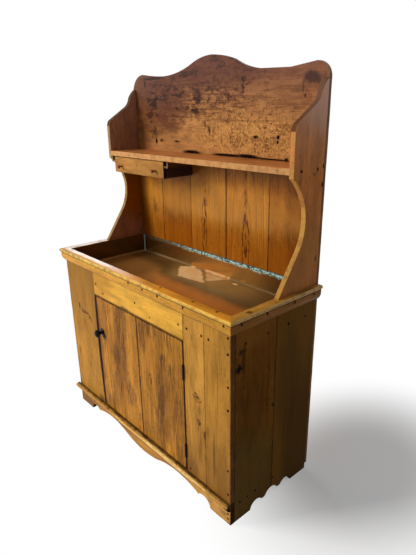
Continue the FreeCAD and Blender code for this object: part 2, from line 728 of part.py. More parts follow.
def runner(side, hand):
    """An L-shaped runner under the shelf, its foot turned towards the drawer."""
    left = "-" + INNER
    right = "%s + DrawerWidth + RunnerZone" % DRAWER_LEFT
    made = new_body("drawer_runner_" + side, left if hand < 0 else right,
                    "%s + RunnerSet" % SHELF_FRONT, "%s - RunnerHeight" % SHELF_BASE)
    section = [
        ("0", "0"),
        ("RunnerLip", "0"),
        ("RunnerLip", "RunnerThick"),
        ("RunnerThick", "RunnerThick"),
        ("RunnerThick", "RunnerHeight"),
        ("0", "RunnerHeight"),
    ]
    profile = sketch_on(made, "XZ_Plane", "section", section if hand < 0 else flipped(section))
    pad(made, profile, "ShelfDepth - RunnerSet", reverse=True)


def drawer():
    """The drawer: a front with the sides nailed behind it, and a bottom in grooves."""
    side_length = "(%s - DrawerFrontThick)" % DRAWER_LENGTH
    side_height = "(DrawerHeight - DrawerSideShort)"
    side_front = "(%s + DrawerFrontThick)" % SHELF_FRONT
    right = "(%s + DrawerWidth - DrawerSideThick)" % DRAWER_LEFT
    inside = "(DrawerWidth - 2 * DrawerSideThick)"
    groove_in = "DrawerSideThick - DrawerGroove"
    front = board("drawer_front", (DRAWER_LEFT, SHELF_FRONT, DRAWER_BASE),
                  ("DrawerWidth", "DrawerFrontThick", "DrawerHeight"))
    block(front, "Subtractive", "groove",
          (groove_in, "DrawerFrontThick - DrawerGroove", "DrawerBottomRise"),
          ("%s + 2 * DrawerGroove" % inside, "DrawerGroove", "DrawerBottomThick"))
    for side, hand, start in (("left", -1, DRAWER_LEFT), ("right", 1, right)):
        cheek = board("drawer_side_" + side, (start, side_front, DRAWER_BASE),
                      ("DrawerSideThick", side_length, side_height))
        block(cheek, "Subtractive", "groove",
              (groove_in if hand < 0 else "0", "0", "DrawerBottomRise"),
              ("DrawerGroove", side_length, "DrawerBottomThick"))
        width = "(RunnerZone - RunnerThick - HangerPlay)"
        outside = "%s - %s" % (DRAWER_LEFT, width) if hand < 0 else "%s + DrawerWidth" % DRAWER_LEFT
        board("drawer_hanger_" + side, (outside, side_front, HANGER_BASE),
              (width, side_length, "HangerHeight"))
    floor_top = "(DrawerBottomRise + DrawerBottomThick)"
    board("drawer_back",
          ("%s + DrawerSideThick" % DRAWER_LEFT, "%s + %s - DrawerSideThick" % (side_front, side_length),
           "%s + %s" % (DRAWER_BASE, floor_top)),
          (inside, "DrawerSideThick", "%s - %s" % (side_height, floor_top)))
    board("drawer_bottom",
          ("%s + %s" % (DRAWER_LEFT, groove_in), "%s - DrawerGroove" % side_front,
           "%s + DrawerBottomRise" % DRAWER_BASE),
          ("%s + 2 * DrawerGroove" % inside, "%s + DrawerGroove" % side_length, "DrawerBottomThick"))
    for side, hand in (("left", -1), ("right", 1)):
        across = "DrawerWidth / 2 + %d * PullSet" % hand
        bore(front, "pull_hole_" + side, (across, "0", "PullHeight"),
             "PullTenon + PinClearance", "PullHead")
        pull = new_body("drawer_knob_" + side, "%s + %s" % (DRAWER_LEFT, across), SHELF_FRONT,
                        "%s + PullHeight" % DRAWER_BASE)
        turn(pull, [
            ("0", "-PullReach"),
            ("PullRadius * 0.7", "-PullReach"),
            ("PullRadius", "PullHead * 0.3 - PullReach"),
            ("PullRadius", "PullHead - PullReach"),
            ("PullNeck", "PullHead - PullReach"),
            ("PullNeck", "0"),
            ("PullTenon", "0"),
            ("PullTenon", "PullHead - 1"),
            ("0", "PullHead - 1"),
        ])


shelf()
runner("left", -1)
runner("right", 1)
drawer()

# --- the door ----------------------------------------------------------------------------


def door():
    """Two upright boards held by two battens behind them."""
    height = "(%s - %s)" % (DOOR_HEAD, DOOR_FOOT)
    left = board("door_board_left", (DOOR_LEFT, FRONT, DOOR_FOOT),
                 ("DoorLeftWidth - DoorSeam / 2", "BoardThick", height))
    bore(left, "spindle_hole", ("LatchSet", "0", "%s - %s" % (LATCH_Z, DOOR_FOOT)),
         "SpindleRadius + SpindleClearance", "BoardThick")
    seam = "(%s + DoorLeftWidth + DoorSeam / 2)" % DOOR_LEFT
    board("door_board_right", (seam, FRONT, DOOR_FOOT),
          ("%s - %s" % (DOOR_RIGHT, seam), "BoardThick", height))
    span = "%s - %s - 2 * BattenSet" % (DOOR_RIGHT, DOOR_LEFT)
    feet = {
        "bottom": "%s + BattenLow" % DOOR_FOOT,
        "top": "%s - BattenHigh - BattenHeight" % DOOR_HEAD,
    }
    for label, foot in feet.items():
        board("door_batten_" + label, ("%s + BattenSet" % DOOR_LEFT, "%s + BoardThick" % FRONT, foot),
              (span, "BattenThick", "BattenHeight"))


def leaf(name, hand, middle, knuckles):
    """A hinge leaf with its knuckles on the pin's line. hand is 1 for the frame's leaf."""
    made = new_body(name, HINGE_X, "%s - KnuckleRadius" % FRONT, "%s - HingeLength / 2" % middle)
    inner = "DoorGap / 2 - LeafThick" if hand > 0 else "-DoorGap / 2"
    plate_front = "(KnuckleRadius + KnuckleGap)"
    block(made, "Additive", "plate", (inner, plate_front, "0"),
          ("LeafThick", "LeafDepth - KnuckleGap", "HingeLength"))
    step = "((HingeLength + KnuckleGap) / 5)"
    for number in knuckles:
        foot = "%d * %s" % (number, step)
        block(made, "Additive", "neck_%d" % number, (inner, "0", foot),
              ("LeafThick", plate_front, "%s - KnuckleGap" % step))
        barrel = made.newObject("PartDesign::AdditiveCylinder", "%s_knuckle_%d" % (name, number))
        bind(barrel, Radius="KnuckleRadius", Height="%s - KnuckleGap" % step)
        place(barrel, "0", "0", foot)
    hole = made.newObject("PartDesign::SubtractiveCylinder", name + "_hole")
    bind(hole, Radius="PinRadius + PinClearance", Height="HingeLength")
    return made


def pins():
    """The two hinge pins, each with a button head on the top knuckle."""
    made = []
    for label, middle in HINGE_HEIGHTS.items():
        shank = doc.addObject("Part::Cylinder", "pin_shank_" + label)
        bind(shank, Radius="PinRadius", Height="HingeLength")
        place(shank, HINGE_X, "%s - KnuckleRadius" % FRONT, "%s - HingeLength / 2" % middle)
        head = doc.addObject("Part::Cone", "pin_head_" + label)
        bind(head, Radius1="KnuckleRadius * 0.9", Radius2="PinRadius", Height="PinHead")
        place(head, HINGE_X, "%s - KnuckleRadius" % FRONT, "%s + HingeLength / 2" % middle)
        pin = doc.addObject("Part::MultiFuse", "pin_" + label)
        pin.Shapes = [shank, head]
        made.append(pin)
    group("hinge_pins", made)


door()
for hinge, hinge_height in HINGE_HEIGHTS.items():
    leaf("hinge_%s_frame_leaf" % hinge, 1, hinge_height, (0, 2, 4))
    leaf("hinge_%s_door_leaf" % hinge, -1, hinge_height, (1, 3))
pins()

# --- the latch ---------------------------------------------------------------------------


def latch():
    """A rose on the door, and a knob whose spindle carries the tongue behind it."""
    rose = new_body("latch_rose", LATCH_X, FRONT, LATCH_Z)
    hole = "SpindleRadius + SpindleClearance"
    turn(rose, [
        (hole, "0"),
        ("RoseRadius", "0"),
        ("RoseRadius", "RoseBevel - RoseThick"),
        ("RoseRadius - RoseBevel", "-RoseThick"),
        (hole, "-RoseThick"),
    ])
    tongue_back = "(BoardThick + TongueGap + TongueThick)"
    knob = new_body("latch_knob", LATCH_X, FRONT, LATCH_Z)
    neck_foot = "(RoseThick + KnobGap)"
    turn(knob, [
        ("0", "-" + KNOB_REACH),
        ("KnobRadius * 0.6", "-" + KNOB_REACH),
        ("KnobRadius", "KnobDome - " + KNOB_REACH),
        ("KnobRadius", "KnobDome + KnobRim - " + KNOB_REACH),
        ("NeckRadius", "-%s - NeckReach" % neck_foot),
        ("NeckRadius", "-" + neck_foot),
        ("SpindleRadius", "-" + neck_foot),
        ("SpindleRadius", tongue_back + " + SpindleTail"),
        ("0", tongue_back + " + SpindleTail"),
    ])
    tongue = new_body("latch_tongue", LATCH_X, "%s + BoardThick + TongueGap" % FRONT, LATCH_Z)
    outline = [
        ("TongueWidth / 2", "0"),
        ("-TongueWidth / 2", "0", "-TongueWidth * 0.4"),
        ("-TongueTip / 2", "-TongueLength"),
        ("TongueTip / 2", "-TongueLength", "-TongueTip / 4"),
    ]
    pad(tongue, sketch_on(tongue, "XZ_Plane", "outline", outline), "TongueThick", reverse=True)
    bore(tongue, "eye", ("0", "0", "0"), "SpindleRadius", "TongueThick")


latch()

# --- the nails ---------------------------------------------------------------------------

# Which way a nail is driven, as a turn of one that is driven towards the back.
DRIVEN = {
    "back": (ALONG_Z, 0),
    "front": (ALONG_Z, 180),
    "left": (ALONG_Z, 90),
    "right": (ALONG_Z, -90),
    "down": (ALONG_X, -90),
}


def tapered(name, low, high, start, end):
    """A square piece that tapers along Y from one width to another."""
    made = doc.addObject("Part::Wedge", name)
    bind(made, Xmin="-%s / 2" % low, Zmin="-%s / 2" % low, Xmax="%s / 2" % low, Zmax="%s / 2" % low)
    bind(made, X2min="-%s / 2" % high, Z2min="-%s / 2" % high)
    bind(made, X2max="%s / 2" % high, Z2max="%s / 2" % high)
    bind(made, Ymin=start, Ymax=end)
    return made


def nail(name, way, length, x, y, z):
    """A cut nail with a low rose head, its head on the wood at the given place."""
    shank = tapered(name + "_shank", "NailShank", "NailTip", "0", length)
    head = tapered(name + "_head", "NailCentre", "NailHead", "-NailCrown", "0")
    made = doc.addObject("Part::MultiFuse", name)
    made.Shapes = [shank, head]
    axis, angle = DRIVEN[way]
    made.Placement.Rotation = FreeCAD.Rotation(axis, angle)
    place(made, x, y, z)
    return made


BED_MIDDLE = "%s - BedThick / 2" % BED_TOP
FLOOR_MIDDLE = "FloorTop - FloorThick / 2"
SHELF_MIDDLE = "ShelfTop - ShelfThick / 2"


def along(start, width, parts):
    """Places at the given parts of a width."""
    return ["%s + %g * %s" % (start, part, width) for part in parts]


def front_nails():
    """Nails through the front boards into the bed, the stop rails and the side boards."""
    opening = "(%s - %s)" % (OPEN_RIGHT, OPEN_LEFT)
    outer = "(%s - RightOuterWidth)" % HALF
    into_bed = along(OPEN_LEFT, opening, (0.033, 0.519, 0.96))
    into_bed += along(OPEN_RIGHT, "RightInnerWidth", (0.19, 0.89))
    into_bed += along(outer, "RightOuterWidth", (0.185,))
    places = [(x, BED_MIDDLE) for x in into_bed]
    for x in along(OPEN_LEFT, opening, (0.122, 0.676)):
        places.append((x, "%s + NailSet" % DOOR_HEAD))
    places += [(x, "FloorTop + NailSet") for x in along(OPEN_RIGHT, "RightInnerWidth", (0.17,))]
    corner = along("0", CAP, (0.933, 0.861, 0.712, 0.602, 0.295, 0.166))
    corner += along("0", "SkirtHeight", (0.47, 0.245))
    places += [("%s - BoardThick / 2 - NailShank" % HALF, z) for z in corner]
    return [("back", "NailLength", x, FRONT, z) for x, z in places]


def moulding_nails():
    """Shorter nails through the moulding and the capping into the boards behind."""
    face = "%s - CorniceOut" % FRONT
    middle = "%s - CorniceFascia / 2" % CAP
    behind = "%s + BoardThick / 2" % FRONT
    outer = "(%s + CorniceOut)" % HALF
    found = [("back", "BradLength", x, face, middle)
             for x in along("0", HALF, (0.004, 0.175, 0.345, 0.609, 0.97))]
    found += [("down", "BradLength", x, behind, "RimHeight")
              for x in along("0", HALF, (0.325, 0.655, 0.868))]
    for y in along(FRONT, "SideDepth", (0.077, 0.352, 0.677, 0.926)):
        found.append(("left", "BradLength", outer, y, middle))
        found.append(("right", "BradLength", "-" + outer, y, middle))
    return found


def side_nails():
    """Nails through the sides into the ends of the bed, the floor and the shelf."""
    rows = (
        (BED_MIDDLE, (0.156, 0.406, 0.652, 0.874)),
        (FLOOR_MIDDLE, (0.111, 0.2, 0.296, 0.526)),
        (SHELF_MIDDLE, (0.722, 0.921)),
    )
    found = []
    for height, parts in rows:
        for y in along(FRONT, "SideDepth", parts):
            found.append(("left", "NailLength", HALF, y, height))
            found.append(("right", "NailLength", "-" + HALF, y, height))
    return found


def back_nails():
    """Nails from behind into the floor, the bed, the shelf and the hutch sides."""
    behind = "%s + BackThick" % BACK
    parts = (-0.911, -0.732, -0.554, -0.357, -0.179, 0.054, 0.232, 0.482, 0.661, 0.911)
    found = []
    for x in along("0", HALF, parts):
        for height in (FLOOR_MIDDLE, BED_MIDDLE, SHELF_MIDDLE):
            found.append(("front", "BradLength", x, behind, height))
    for edge in ("(BoardThick / 2 - %s)" % HALF, "(%s - BoardThick / 2)" % HALF):
        for height in ("BackTop + NailSet", "HutchTop - 2 * NailSet"):
            found.append(("front", "BradLength", edge, behind, height))
    return found


def batten_nails():
    """Nails from inside the door through the battens into its boards."""
    behind = "%s + BoardThick + BattenThick" % FRONT
    low = "%s + BattenLow + BattenHeight / 2" % DOOR_FOOT
    high = "%s - BattenHigh - BattenHeight / 2" % DOOR_HEAD
    width = "(%s - %s)" % (DOOR_RIGHT, DOOR_LEFT)
    return [("front", "BradLength", x, behind, z)
            for x in along(DOOR_LEFT, width, (0.093, 0.447, 0.592, 0.913)) for z in (low, high)]


def nails(name, found):
    """One group of nails."""
    group(name, [nail("%s_%d" % (name, number), *one) for number, one in enumerate(found, start=1)])


nails("cabinet_nails", front_nails() + moulding_nails() + side_nails() + back_nails())
nails("door_nails", batten_nails())

# --- check every feature, then write the sub-parts ---------------------------------------

doc.recompute()
for item in doc.Objects:
    if "Invalid" in item.State or "Error" in item.State:
        raise RuntimeError("%s did not build: %s" % (item.Name, item.State))
for part in PARTS:
    shape = part.Shape
    if shape.isNull() or not shape.isValid() or not shape.Solids:
        raise RuntimeError("%s has no valid solid" % part.Label)

os.makedirs("parts", exist_ok=True)
for part in PARTS:
    part.Shape.exportStep("parts/%s.step" % part.Label)
    box = part.Shape.BoundBox
    print("%-24s x %8.1f %8.1f  y %8.1f %8.1f  z %8.1f %8.1f  solids %d" % (
        part.Label, box.XMin, box.XMax, box.YMin, box.YMax, box.ZMin, box.ZMax,
        len(part.Shape.Solids)))
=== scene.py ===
import math
import random

import bpy
from mathutils import Matrix, Vector, noise


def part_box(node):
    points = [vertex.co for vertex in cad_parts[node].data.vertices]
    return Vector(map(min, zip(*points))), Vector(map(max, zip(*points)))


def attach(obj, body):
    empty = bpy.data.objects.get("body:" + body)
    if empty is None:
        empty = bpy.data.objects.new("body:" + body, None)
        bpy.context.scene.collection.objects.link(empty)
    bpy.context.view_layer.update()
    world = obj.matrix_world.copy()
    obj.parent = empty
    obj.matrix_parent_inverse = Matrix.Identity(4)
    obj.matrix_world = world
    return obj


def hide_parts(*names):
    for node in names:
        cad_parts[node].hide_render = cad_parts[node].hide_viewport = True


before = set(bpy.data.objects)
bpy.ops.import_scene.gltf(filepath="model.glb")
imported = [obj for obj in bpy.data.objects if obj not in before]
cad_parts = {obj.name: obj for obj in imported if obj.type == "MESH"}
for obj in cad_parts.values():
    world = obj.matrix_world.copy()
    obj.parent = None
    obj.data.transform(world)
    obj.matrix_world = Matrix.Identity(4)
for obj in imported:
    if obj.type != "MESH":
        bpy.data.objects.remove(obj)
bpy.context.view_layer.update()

bl_info = {
    "name": "Dry sink dressing",
    "version": (1, 0, 0),
    "blender": (4, 5, 0),
    "location": "View3D > Sidebar > Dry sink",
    "description": "Dresses a pine dry sink with worn boards, copper, iron and wax",
    "category": "Object",
}

# Where the main planes of the piece are, in metres.
FRONT_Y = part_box("left_stile")[0].y
BACK_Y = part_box("side_rear_left")[1].y
HALF_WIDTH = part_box("left_stile")[0].x * -1
SHELF_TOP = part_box("hutch_shelf")[1].z
HUTCH_SHOULDER = 1.38
MM = 0.001
TURN_ABOUT_X = (math.radians(90), 0, 0)
TURN_ABOUT_Y = (0, math.radians(90), 0)
TURN_ABOUT_Z = (0, 0, math.radians(90))


def linear(red, green, blue):
    """A colour given in everyday 0 to 255 steps, as the shader wants it."""
    shares = []
    for step in (red, green, blue):
        share = step / 255
        shares.append(share / 12.92 if share <= 0.04045 else ((share + 0.055) / 1.055) ** 2.4)
    return (*shares, 1.0)


# --- shader helpers ----------------------------------------------------------------------


class Tree:
    """Adds and joins shader nodes, with inputs given in order or by name."""

    def __init__(self, tree):
        self.tree = tree

    def feed(self, socket, value):
        if isinstance(value, bpy.types.NodeSocket):
            self.tree.links.new(value, socket)
        else:
            socket.default_value = value

    def add(self, kind, *inputs, named=None, **settings):
        node = self.tree.nodes.new("ShaderNode" + kind)
        for name, setting in settings.items():
            setattr(node, name, setting)
        for socket, value in zip(node.inputs, inputs):
            if value is not None:
                self.feed(socket, value)
        for name, value in (named or {}).items():
            self.feed(node.inputs[name], value)
        return node

    def maths(self, operation, *inputs, clamp=False):
        return self.add("Math", *inputs, operation=operation, use_clamp=clamp).outputs[0]

    def vector(self, operation, *inputs):
        return self.add("VectorMath", *inputs, operation=operation).outputs[0]

    def length(self, vector):
        return self.add("VectorMath", vector, operation="LENGTH").outputs["Value"]

    def blend(self, share, first, second, mode="MIX"):
        node = self.add("Mix", data_type="RGBA", blend_type=mode)
        for index, value in ((0, share), (6, first), (7, second)):
            self.feed(node.inputs[index], value)
        return node.outputs[2]

    def between(self, value, low, high, start=0.0, end=1.0):
        node = self.add("MapRange", value, low, high, start, end, interpolation_type="SMOOTHSTEP")
        return node.outputs[0]

    def speckle(self, vector, scale, detail=2.0, rough=0.5, output=0, swirl=0.0):
        node = self.add("TexNoise", named={
            "Vector": vector, "Scale": scale, "Detail": detail, "Roughness": rough,
            "Distortion": swirl})
        return node.outputs[output]

    def place(self, name, **inputs):
        """A copy of a shared group."""
        node = self.add("Group", node_tree=bpy.data.node_groups[name])
        for label, value in inputs.items():
            self.feed(node.inputs[label.replace("_", " ")], value)
        return node


def shared_group(name, inputs, outputs):
    """An empty shared group with its sockets, and its own input and output nodes."""
    tree = bpy.data.node_groups.new(name, "ShaderNodeTree")
    for label, kind, start in inputs:
        socket = tree.interface.new_socket(name=label, in_out="INPUT", socket_type="NodeSocket" + kind)
        if start is not None:
            socket.default_value = start
    for label, kind in outputs:
        tree.interface.new_socket(name=label, in_out="OUTPUT", socket_type="NodeSocket" + kind)
    return Tree(tree), tree.nodes.new("NodeGroupInput").outputs, tree.nodes.new("NodeGroupOutput").inputs


def build_figure_group():
    """Distance to the tree's heart, for a board whose grain runs along its Z."""
    t, given, result = shared_group(
        "timber figure",
        [("Vector", "Vector", None), ("Pith", "Vector", (0, 0, 0)), ("Tilt", "Float", 0.05),
         ("Wander", "Float", 0.02)],
        [("Radius", "Float")])
    stretched = t.vector("MULTIPLY", given["Vector"], (1.0, 1.0, 0.22))
    broad = t.speckle(stretched, 5.0, 2.0, 0.45, output=1)
    drift = t.add("VectorMath", t.vector("SUBTRACT", broad, (0.5, 0.5, 0.5)), operation="SCALE",
                  named={"Scale": given["Wander"]}).outputs[0]
    moved = t.vector("ADD", t.vector("SUBTRACT", given["Vector"], given["Pith"]), drift)
    split = t.add("SeparateXYZ", moved).outputs
    depth = t.maths("ADD", split[1], t.maths("MULTIPLY", split[2], given["Tilt"]))
    flat = t.add("CombineXYZ", split[0], depth, 0.0).outputs[0]
    small = t.maths("MULTIPLY", t.maths("SUBTRACT", t.speckle(stretched, 40.0, 2.0), 0.5), 0.0016)
    t.feed(result["Radius"], t.maths("ADD", t.length(flat), small))


def build_knot_group():
    """Bends the rings round a knot and gives its heart, its rim and its cracks."""
    t, given, result = shared_group(
        "timber knot",
        [("Vector", "Vector", None), ("Centre", "Vector", (0, 0, 0)), ("Size", "Vector", (1, 1, 1)),
         ("Radius", "Float", 0.0)],
        [("Radius", "Float"), ("Heart", "Float"), ("Rim", "Float")])
    offset = t.vector("DIVIDE", t.vector("SUBTRACT", given["Vector"], given["Centre"]), given["Size"])
    ragged = t.vector("SUBTRACT", t.speckle(given["Vector"], 90.0, 3.0, output=1), (0.5, 0.5, 0.5))
    far = t.length(t.vector("ADD", offset, t.vector("MULTIPLY", ragged, (0.9, 0.9, 0.9))))
    near = t.between(far, 3.2, 0.9)
    bent = t.maths("ADD", given["Radius"], t.maths("MULTIPLY", t.maths("MULTIPLY", near, near), 0.02))
    t.feed(result["Radius"], bent)
    cracks = t.between(t.speckle(given["Vector"], 170.0, 3.0, 0.7), 0.44, 0.58)
    t.feed(result["Heart"], t.maths("MULTIPLY", t.between(far, 0.75, 0.3),
                                    t.maths("ADD", 0.35, t.maths("MULTIPLY", cracks, 0.65))))
    rings = [t.maths("SUBTRACT", 1.0, t.maths("ABSOLUTE", t.maths("MULTIPLY", t.maths("SUBTRACT", far, place), thin)),
                     clamp=True) for place, thin in ((1.0, 3.0), (0.6, 5.0))]
    rim = t.maths("MAXIMUM", *rings)
    broken = t.between(t.speckle(given["Vector"], 75.0, 3.0, 0.6), 0.4, 0.58)
    t.feed(result["Rim"], t.maths("MULTIPLY", rim, broken))


def build_tone_group():
    """Colours a board from the distance to the heart: rings, fibres, pores and broad patches."""
    t, given, result = shared_group(
        "timber tone",
        [("Vector", "Vector", None), ("Radius", "Float", 0.0), ("Spacing", "Float", 0.008),
         ("Pale", "Color", (0.5, 0.3, 0.1, 1)), ("Deep", "Color", (0.3, 0.15, 0.05, 1)),
         ("Patch", "Color", (0.4, 0.2, 0.08, 1)), ("Grain", "Float", 0.6), ("Fibre", "Float", 0.3),
         ("Patches", "Float", 0.4), ("Weather", "Float", 0.0)],
        [("Color", "Color"), ("Ring", "Float"), ("Streak", "Float")])
    years = t.maths("DIVIDE", given["Radius"], given["Spacing"])
    along_radius = t.add("CombineXYZ", t.maths("MULTIPLY", years, 0.35), 0.0, 0.0).outputs[0]
    uneven = t.maths("MULTIPLY", t.maths("SUBTRACT", t.speckle(along_radius, 1.0, 3.0, 0.6), 0.5), 3.4)
    years = t.maths("ADD", years, uneven)
    ring = t.maths("FRACT", years)
    ramp = t.add("ValToRGB", ring)
    bar = ramp.color_ramp
    bar.interpolation = "EASE"
    bar.elements[0].color = (0.6, 0.6, 0.6, 1)
    bar.elements[1].color = (1, 1, 1, 1)
    bar.elements[1].position = 0.92
    for position, level in ((0.12, 0.02), (0.4, 0.06)):
        bar.elements.new(position).color = (level, level, level, 1)
    each = t.add("CombineXYZ", t.maths("FLOOR", years), 0.0, 0.0).outputs[0]
    chance = t.add("TexWhiteNoise", named={"Vector": each}).outputs["Value"]
    line = t.maths("MULTIPLY", ramp.outputs[0], t.between(chance, 0.0, 1.0, 0.25, 1.0))
    long = t.vector("MULTIPLY", given["Vector"], (1.0, 1.0, 0.05))
    middle = t.vector("MULTIPLY", given["Vector"], (1.0, 1.0, 0.3))
    fading = t.between(t.speckle(middle, 7.0, 2.0), 0.3, 0.7, 0.35, 1.0)
    amount = t.maths("MULTIPLY", t.maths("MULTIPLY", line, given["Grain"]), fading)
    wood = t.blend(amount, given["Pale"], given["Deep"])
    broad = t.between(t.speckle(middle, 5.0, 5.0, 0.65, swirl=0.4), 0.42, 0.66)
    wood = t.blend(t.maths("MULTIPLY", broad, given["Patches"]), wood, given["Patch"])
    fine = t.speckle(long, 300.0, 2.0, 0.7)
    coarse = t.speckle(long, 70.0, 4.0, 0.65)
    both = t.maths("ADD", t.maths("MULTIPLY", fine, 0.5), t.maths("MULTIPLY", coarse, 0.5))
    pores = t.between(t.speckle(t.vector("MULTIPLY", given["Vector"], (1.0, 1.0, 0.09)), 420.0, 1.0), 0.66, 0.74)
    wood = t.blend(t.maths("MULTIPLY", pores, t.maths("MULTIPLY", given["Fibre"], 0.9)), wood, given["Deep"])
    worn = t.between(t.speckle(long, 120.0, 4.0, 0.65), 0.49, 0.58)
    where = t.between(t.speckle(middle, 9.0, 3.0, 0.6), 0.4, 0.58)
    streaked = t.maths("MULTIPLY", t.maths("MULTIPLY", worn, where), given["Weather"])
    wood = t.blend(streaked, wood, (0.075, 0.035, 0.013, 1))
    swing = t.maths("MULTIPLY", t.maths("SUBTRACT", both, 0.5), given["Fibre"])
    shade = t.maths("ADD", 1.0, t.maths("MULTIPLY", swing, 3.4))
    mottled = t.speckle(t.vector("MULTIPLY", given["Vector"], (1.0, 1.0, 0.35)), 22.0, 4.0, 0.6)
    shade = t.maths("ADD", shade, t.maths("MULTIPLY", t.maths("SUBTRACT", mottled, 0.5), 1.1))
    specks = t.between(t.speckle(t.vector("MULTIPLY", given["Vector"], (1.0, 1.0, 0.35)), 190.0, 2.0), 0.62, 0.7)
    shade = t.maths("SUBTRACT", shade, t.maths("MULTIPLY", specks, given["Fibre"]))
    grey = t.add("CombineXYZ", shade, shade, shade).outputs[0]
    t.feed(result["Color"], t.vector("MULTIPLY", wood, grey))
    t.feed(result["Ring"], line)
    t.feed(result["Streak"], both)


def build_stain_group():
    """A ragged patch round a point, stretched as its size says. Thread breaks it up into the
    threads or specks in which its noise is above that level."""
    t, given, result = shared_group(
        "ragged patch",
        [("Vector", "Vector", None), ("Centre", "Vector", (0, 0, 0)), ("Size", "Vector", (1, 1, 1)),
         ("Stretch", "Vector", (1, 1, 1)), ("Grit", "Float", 30.0), ("Ragged", "Float", 1.0),
         ("Thread", "Float", 0.0)],
        [("Mask", "Float")])
    offset = t.vector("DIVIDE", t.vector("SUBTRACT", given["Vector"], given["Centre"]), given["Size"])
    breakup = t.speckle(t.vector("MULTIPLY", given["Vector"], given["Stretch"]), given["Grit"], 4.0, 0.6,
                        swirl=0.5)
    rough = t.maths("MULTIPLY", t.maths("SUBTRACT", 0.5, breakup), given["Ragged"])
    whole = t.between(t.maths("ADD", t.length(offset), rough), 1.15, 0.45)
    threads = t.between(t.maths("SUBTRACT", breakup, given["Thread"]), 0.0, 0.05)
    t.feed(result["Mask"], t.maths("MULTIPLY", whole, threads))


def build_joint_group():
    """Grime and painted shade gathered along the edges of a board, from its corners' places."""
    t, given, result = shared_group(
        "joint dirt",
        [("Vector", "Vector", None), ("Low", "Vector", (0, 0, 0)), ("High", "Vector", (1, 1, 1)),
         ("Reach", "Float", 0.01)],
        [("Mask", "Float")])
    inward = t.vector("MINIMUM", t.vector("SUBTRACT", given["Vector"], given["Low"]),
                      t.vector("SUBTRACT", given["High"], given["Vector"]))
    split = t.add("SeparateXYZ", inward).outputs
    least = t.maths("MINIMUM", t.maths("MINIMUM", split[0], split[1]), split[2])
    uneven = t.maths("MULTIPLY", t.maths("SUBTRACT", t.speckle(given["Vector"], 28.0, 3.0, 0.6), 0.45),
                     t.maths("MULTIPLY", given["Reach"], 2.4))
    t.feed(result["Mask"], t.between(t.maths("ADD", least, uneven), given["Reach"], 0.0))


def build_flame_group():
    """Thin nested outlines round a long narrow heart, where a saw has cut a board's rings flat."""
    t, given, result = shared_group(
        "flame figure",
        [("Vector", "Vector", None), ("Centre", "Vector", (0, 0, 0)), ("Size", "Vector", (1, 1, 1))],
        [("Mask", "Float")])
    long = t.vector("MULTIPLY", given["Vector"], (1.0, 1.0, 0.3))
    wobble = t.vector("SUBTRACT", t.speckle(long, 50.0, 3.0, output=1), (0.5, 0.5, 0.5))
    offset = t.vector("DIVIDE", t.vector("SUBTRACT", given["Vector"], given["Centre"]), given["Size"])
    far = t.length(t.vector("ADD", offset, t.vector("MULTIPLY", wobble, (1.5, 1.5, 0.4))))
    turns = t.maths("FRACT", t.maths("MULTIPLY", far, 1.6))
    lines = t.between(t.maths("ABSOLUTE", t.maths("SUBTRACT", turns, 0.5)), 0.3, 0.12)
    broken = t.between(t.speckle(long, 130.0, 2.0), 0.36, 0.52, 0.25, 1.0)
    t.feed(result["Mask"], t.maths("MULTIPLY", t.maths("MULTIPLY", lines, broken), t.between(far, 1.7, 1.1)))


def build_groups():
    build_flame_group()
    build_figure_group()
    build_knot_group()
    build_tone_group()
    build_stain_group()
    build_joint_group()


# --- wood --------------------------------------------------------------------------------

# Tones of wax and age, in everyday steps: pale wood, ring lines, patches, worn edges.
TONES = {
    "golden": ((170, 118, 40), (126, 80, 24), (148, 100, 30), (190, 138, 60)),
    "yellow": ((214, 160, 60), (172, 118, 38), (194, 138, 48), (226, 176, 88)),
    "amber": ((192, 138, 58), (142, 94, 36), (166, 114, 44), (204, 152, 78)),
    "umber": ((178, 126, 50), (130, 86, 32), (154, 104, 38), (196, 144, 72)),
    "door": ((184, 124, 44), (112, 64, 22), (148, 92, 30), (190, 134, 60)),
    "dusk": ((188, 128, 44), (116, 68, 22), (152, 96, 30), (194, 136, 60)),
    "skirt": ((198, 142, 66), (128, 80, 32), (150, 100, 42), (214, 162, 86)),
    "moulding": ((204, 146, 60), (150, 98, 36), (180, 122, 46), (238, 190, 112)),
    # shadow and side are darker copies of the pine for faces turned away from the lamps: painted shade.
    "shadow": ((156, 104, 50), (104, 64, 28), (124, 78, 34), (196, 144, 78)),
    "side": ((104, 64, 18), (62, 34, 8), (82, 46, 11), (120, 80, 32)),
    "hutch": ((168, 104, 54), (122, 68, 34), (138, 80, 42), (184, 140, 63)),
    "back": ((178, 110, 34), (104, 50, 12), (146, 82, 22), (176, 112, 44)),
    "crest": ((190, 128, 66), (136, 82, 40), (128, 76, 42), (186, 136, 94)),
    "shelf": ((200, 126, 66), (140, 78, 36), (170, 98, 46), (206, 156, 88)),
    "drawer": ((168, 118, 60), (128, 82, 38), (146, 98, 46), (196, 144, 80)),
    "bare": ((92, 58, 32), (62, 36, 18), (74, 44, 22), (176, 140, 96)),
}
GRAIN_TURN = {"X": TURN_ABOUT_Y, "Y": TURN_ABOUT_X, "Z": (0, 0, 0), "side": TURN_ABOUT_Z}
STAIN_COLOUR = linear(58, 34, 20)


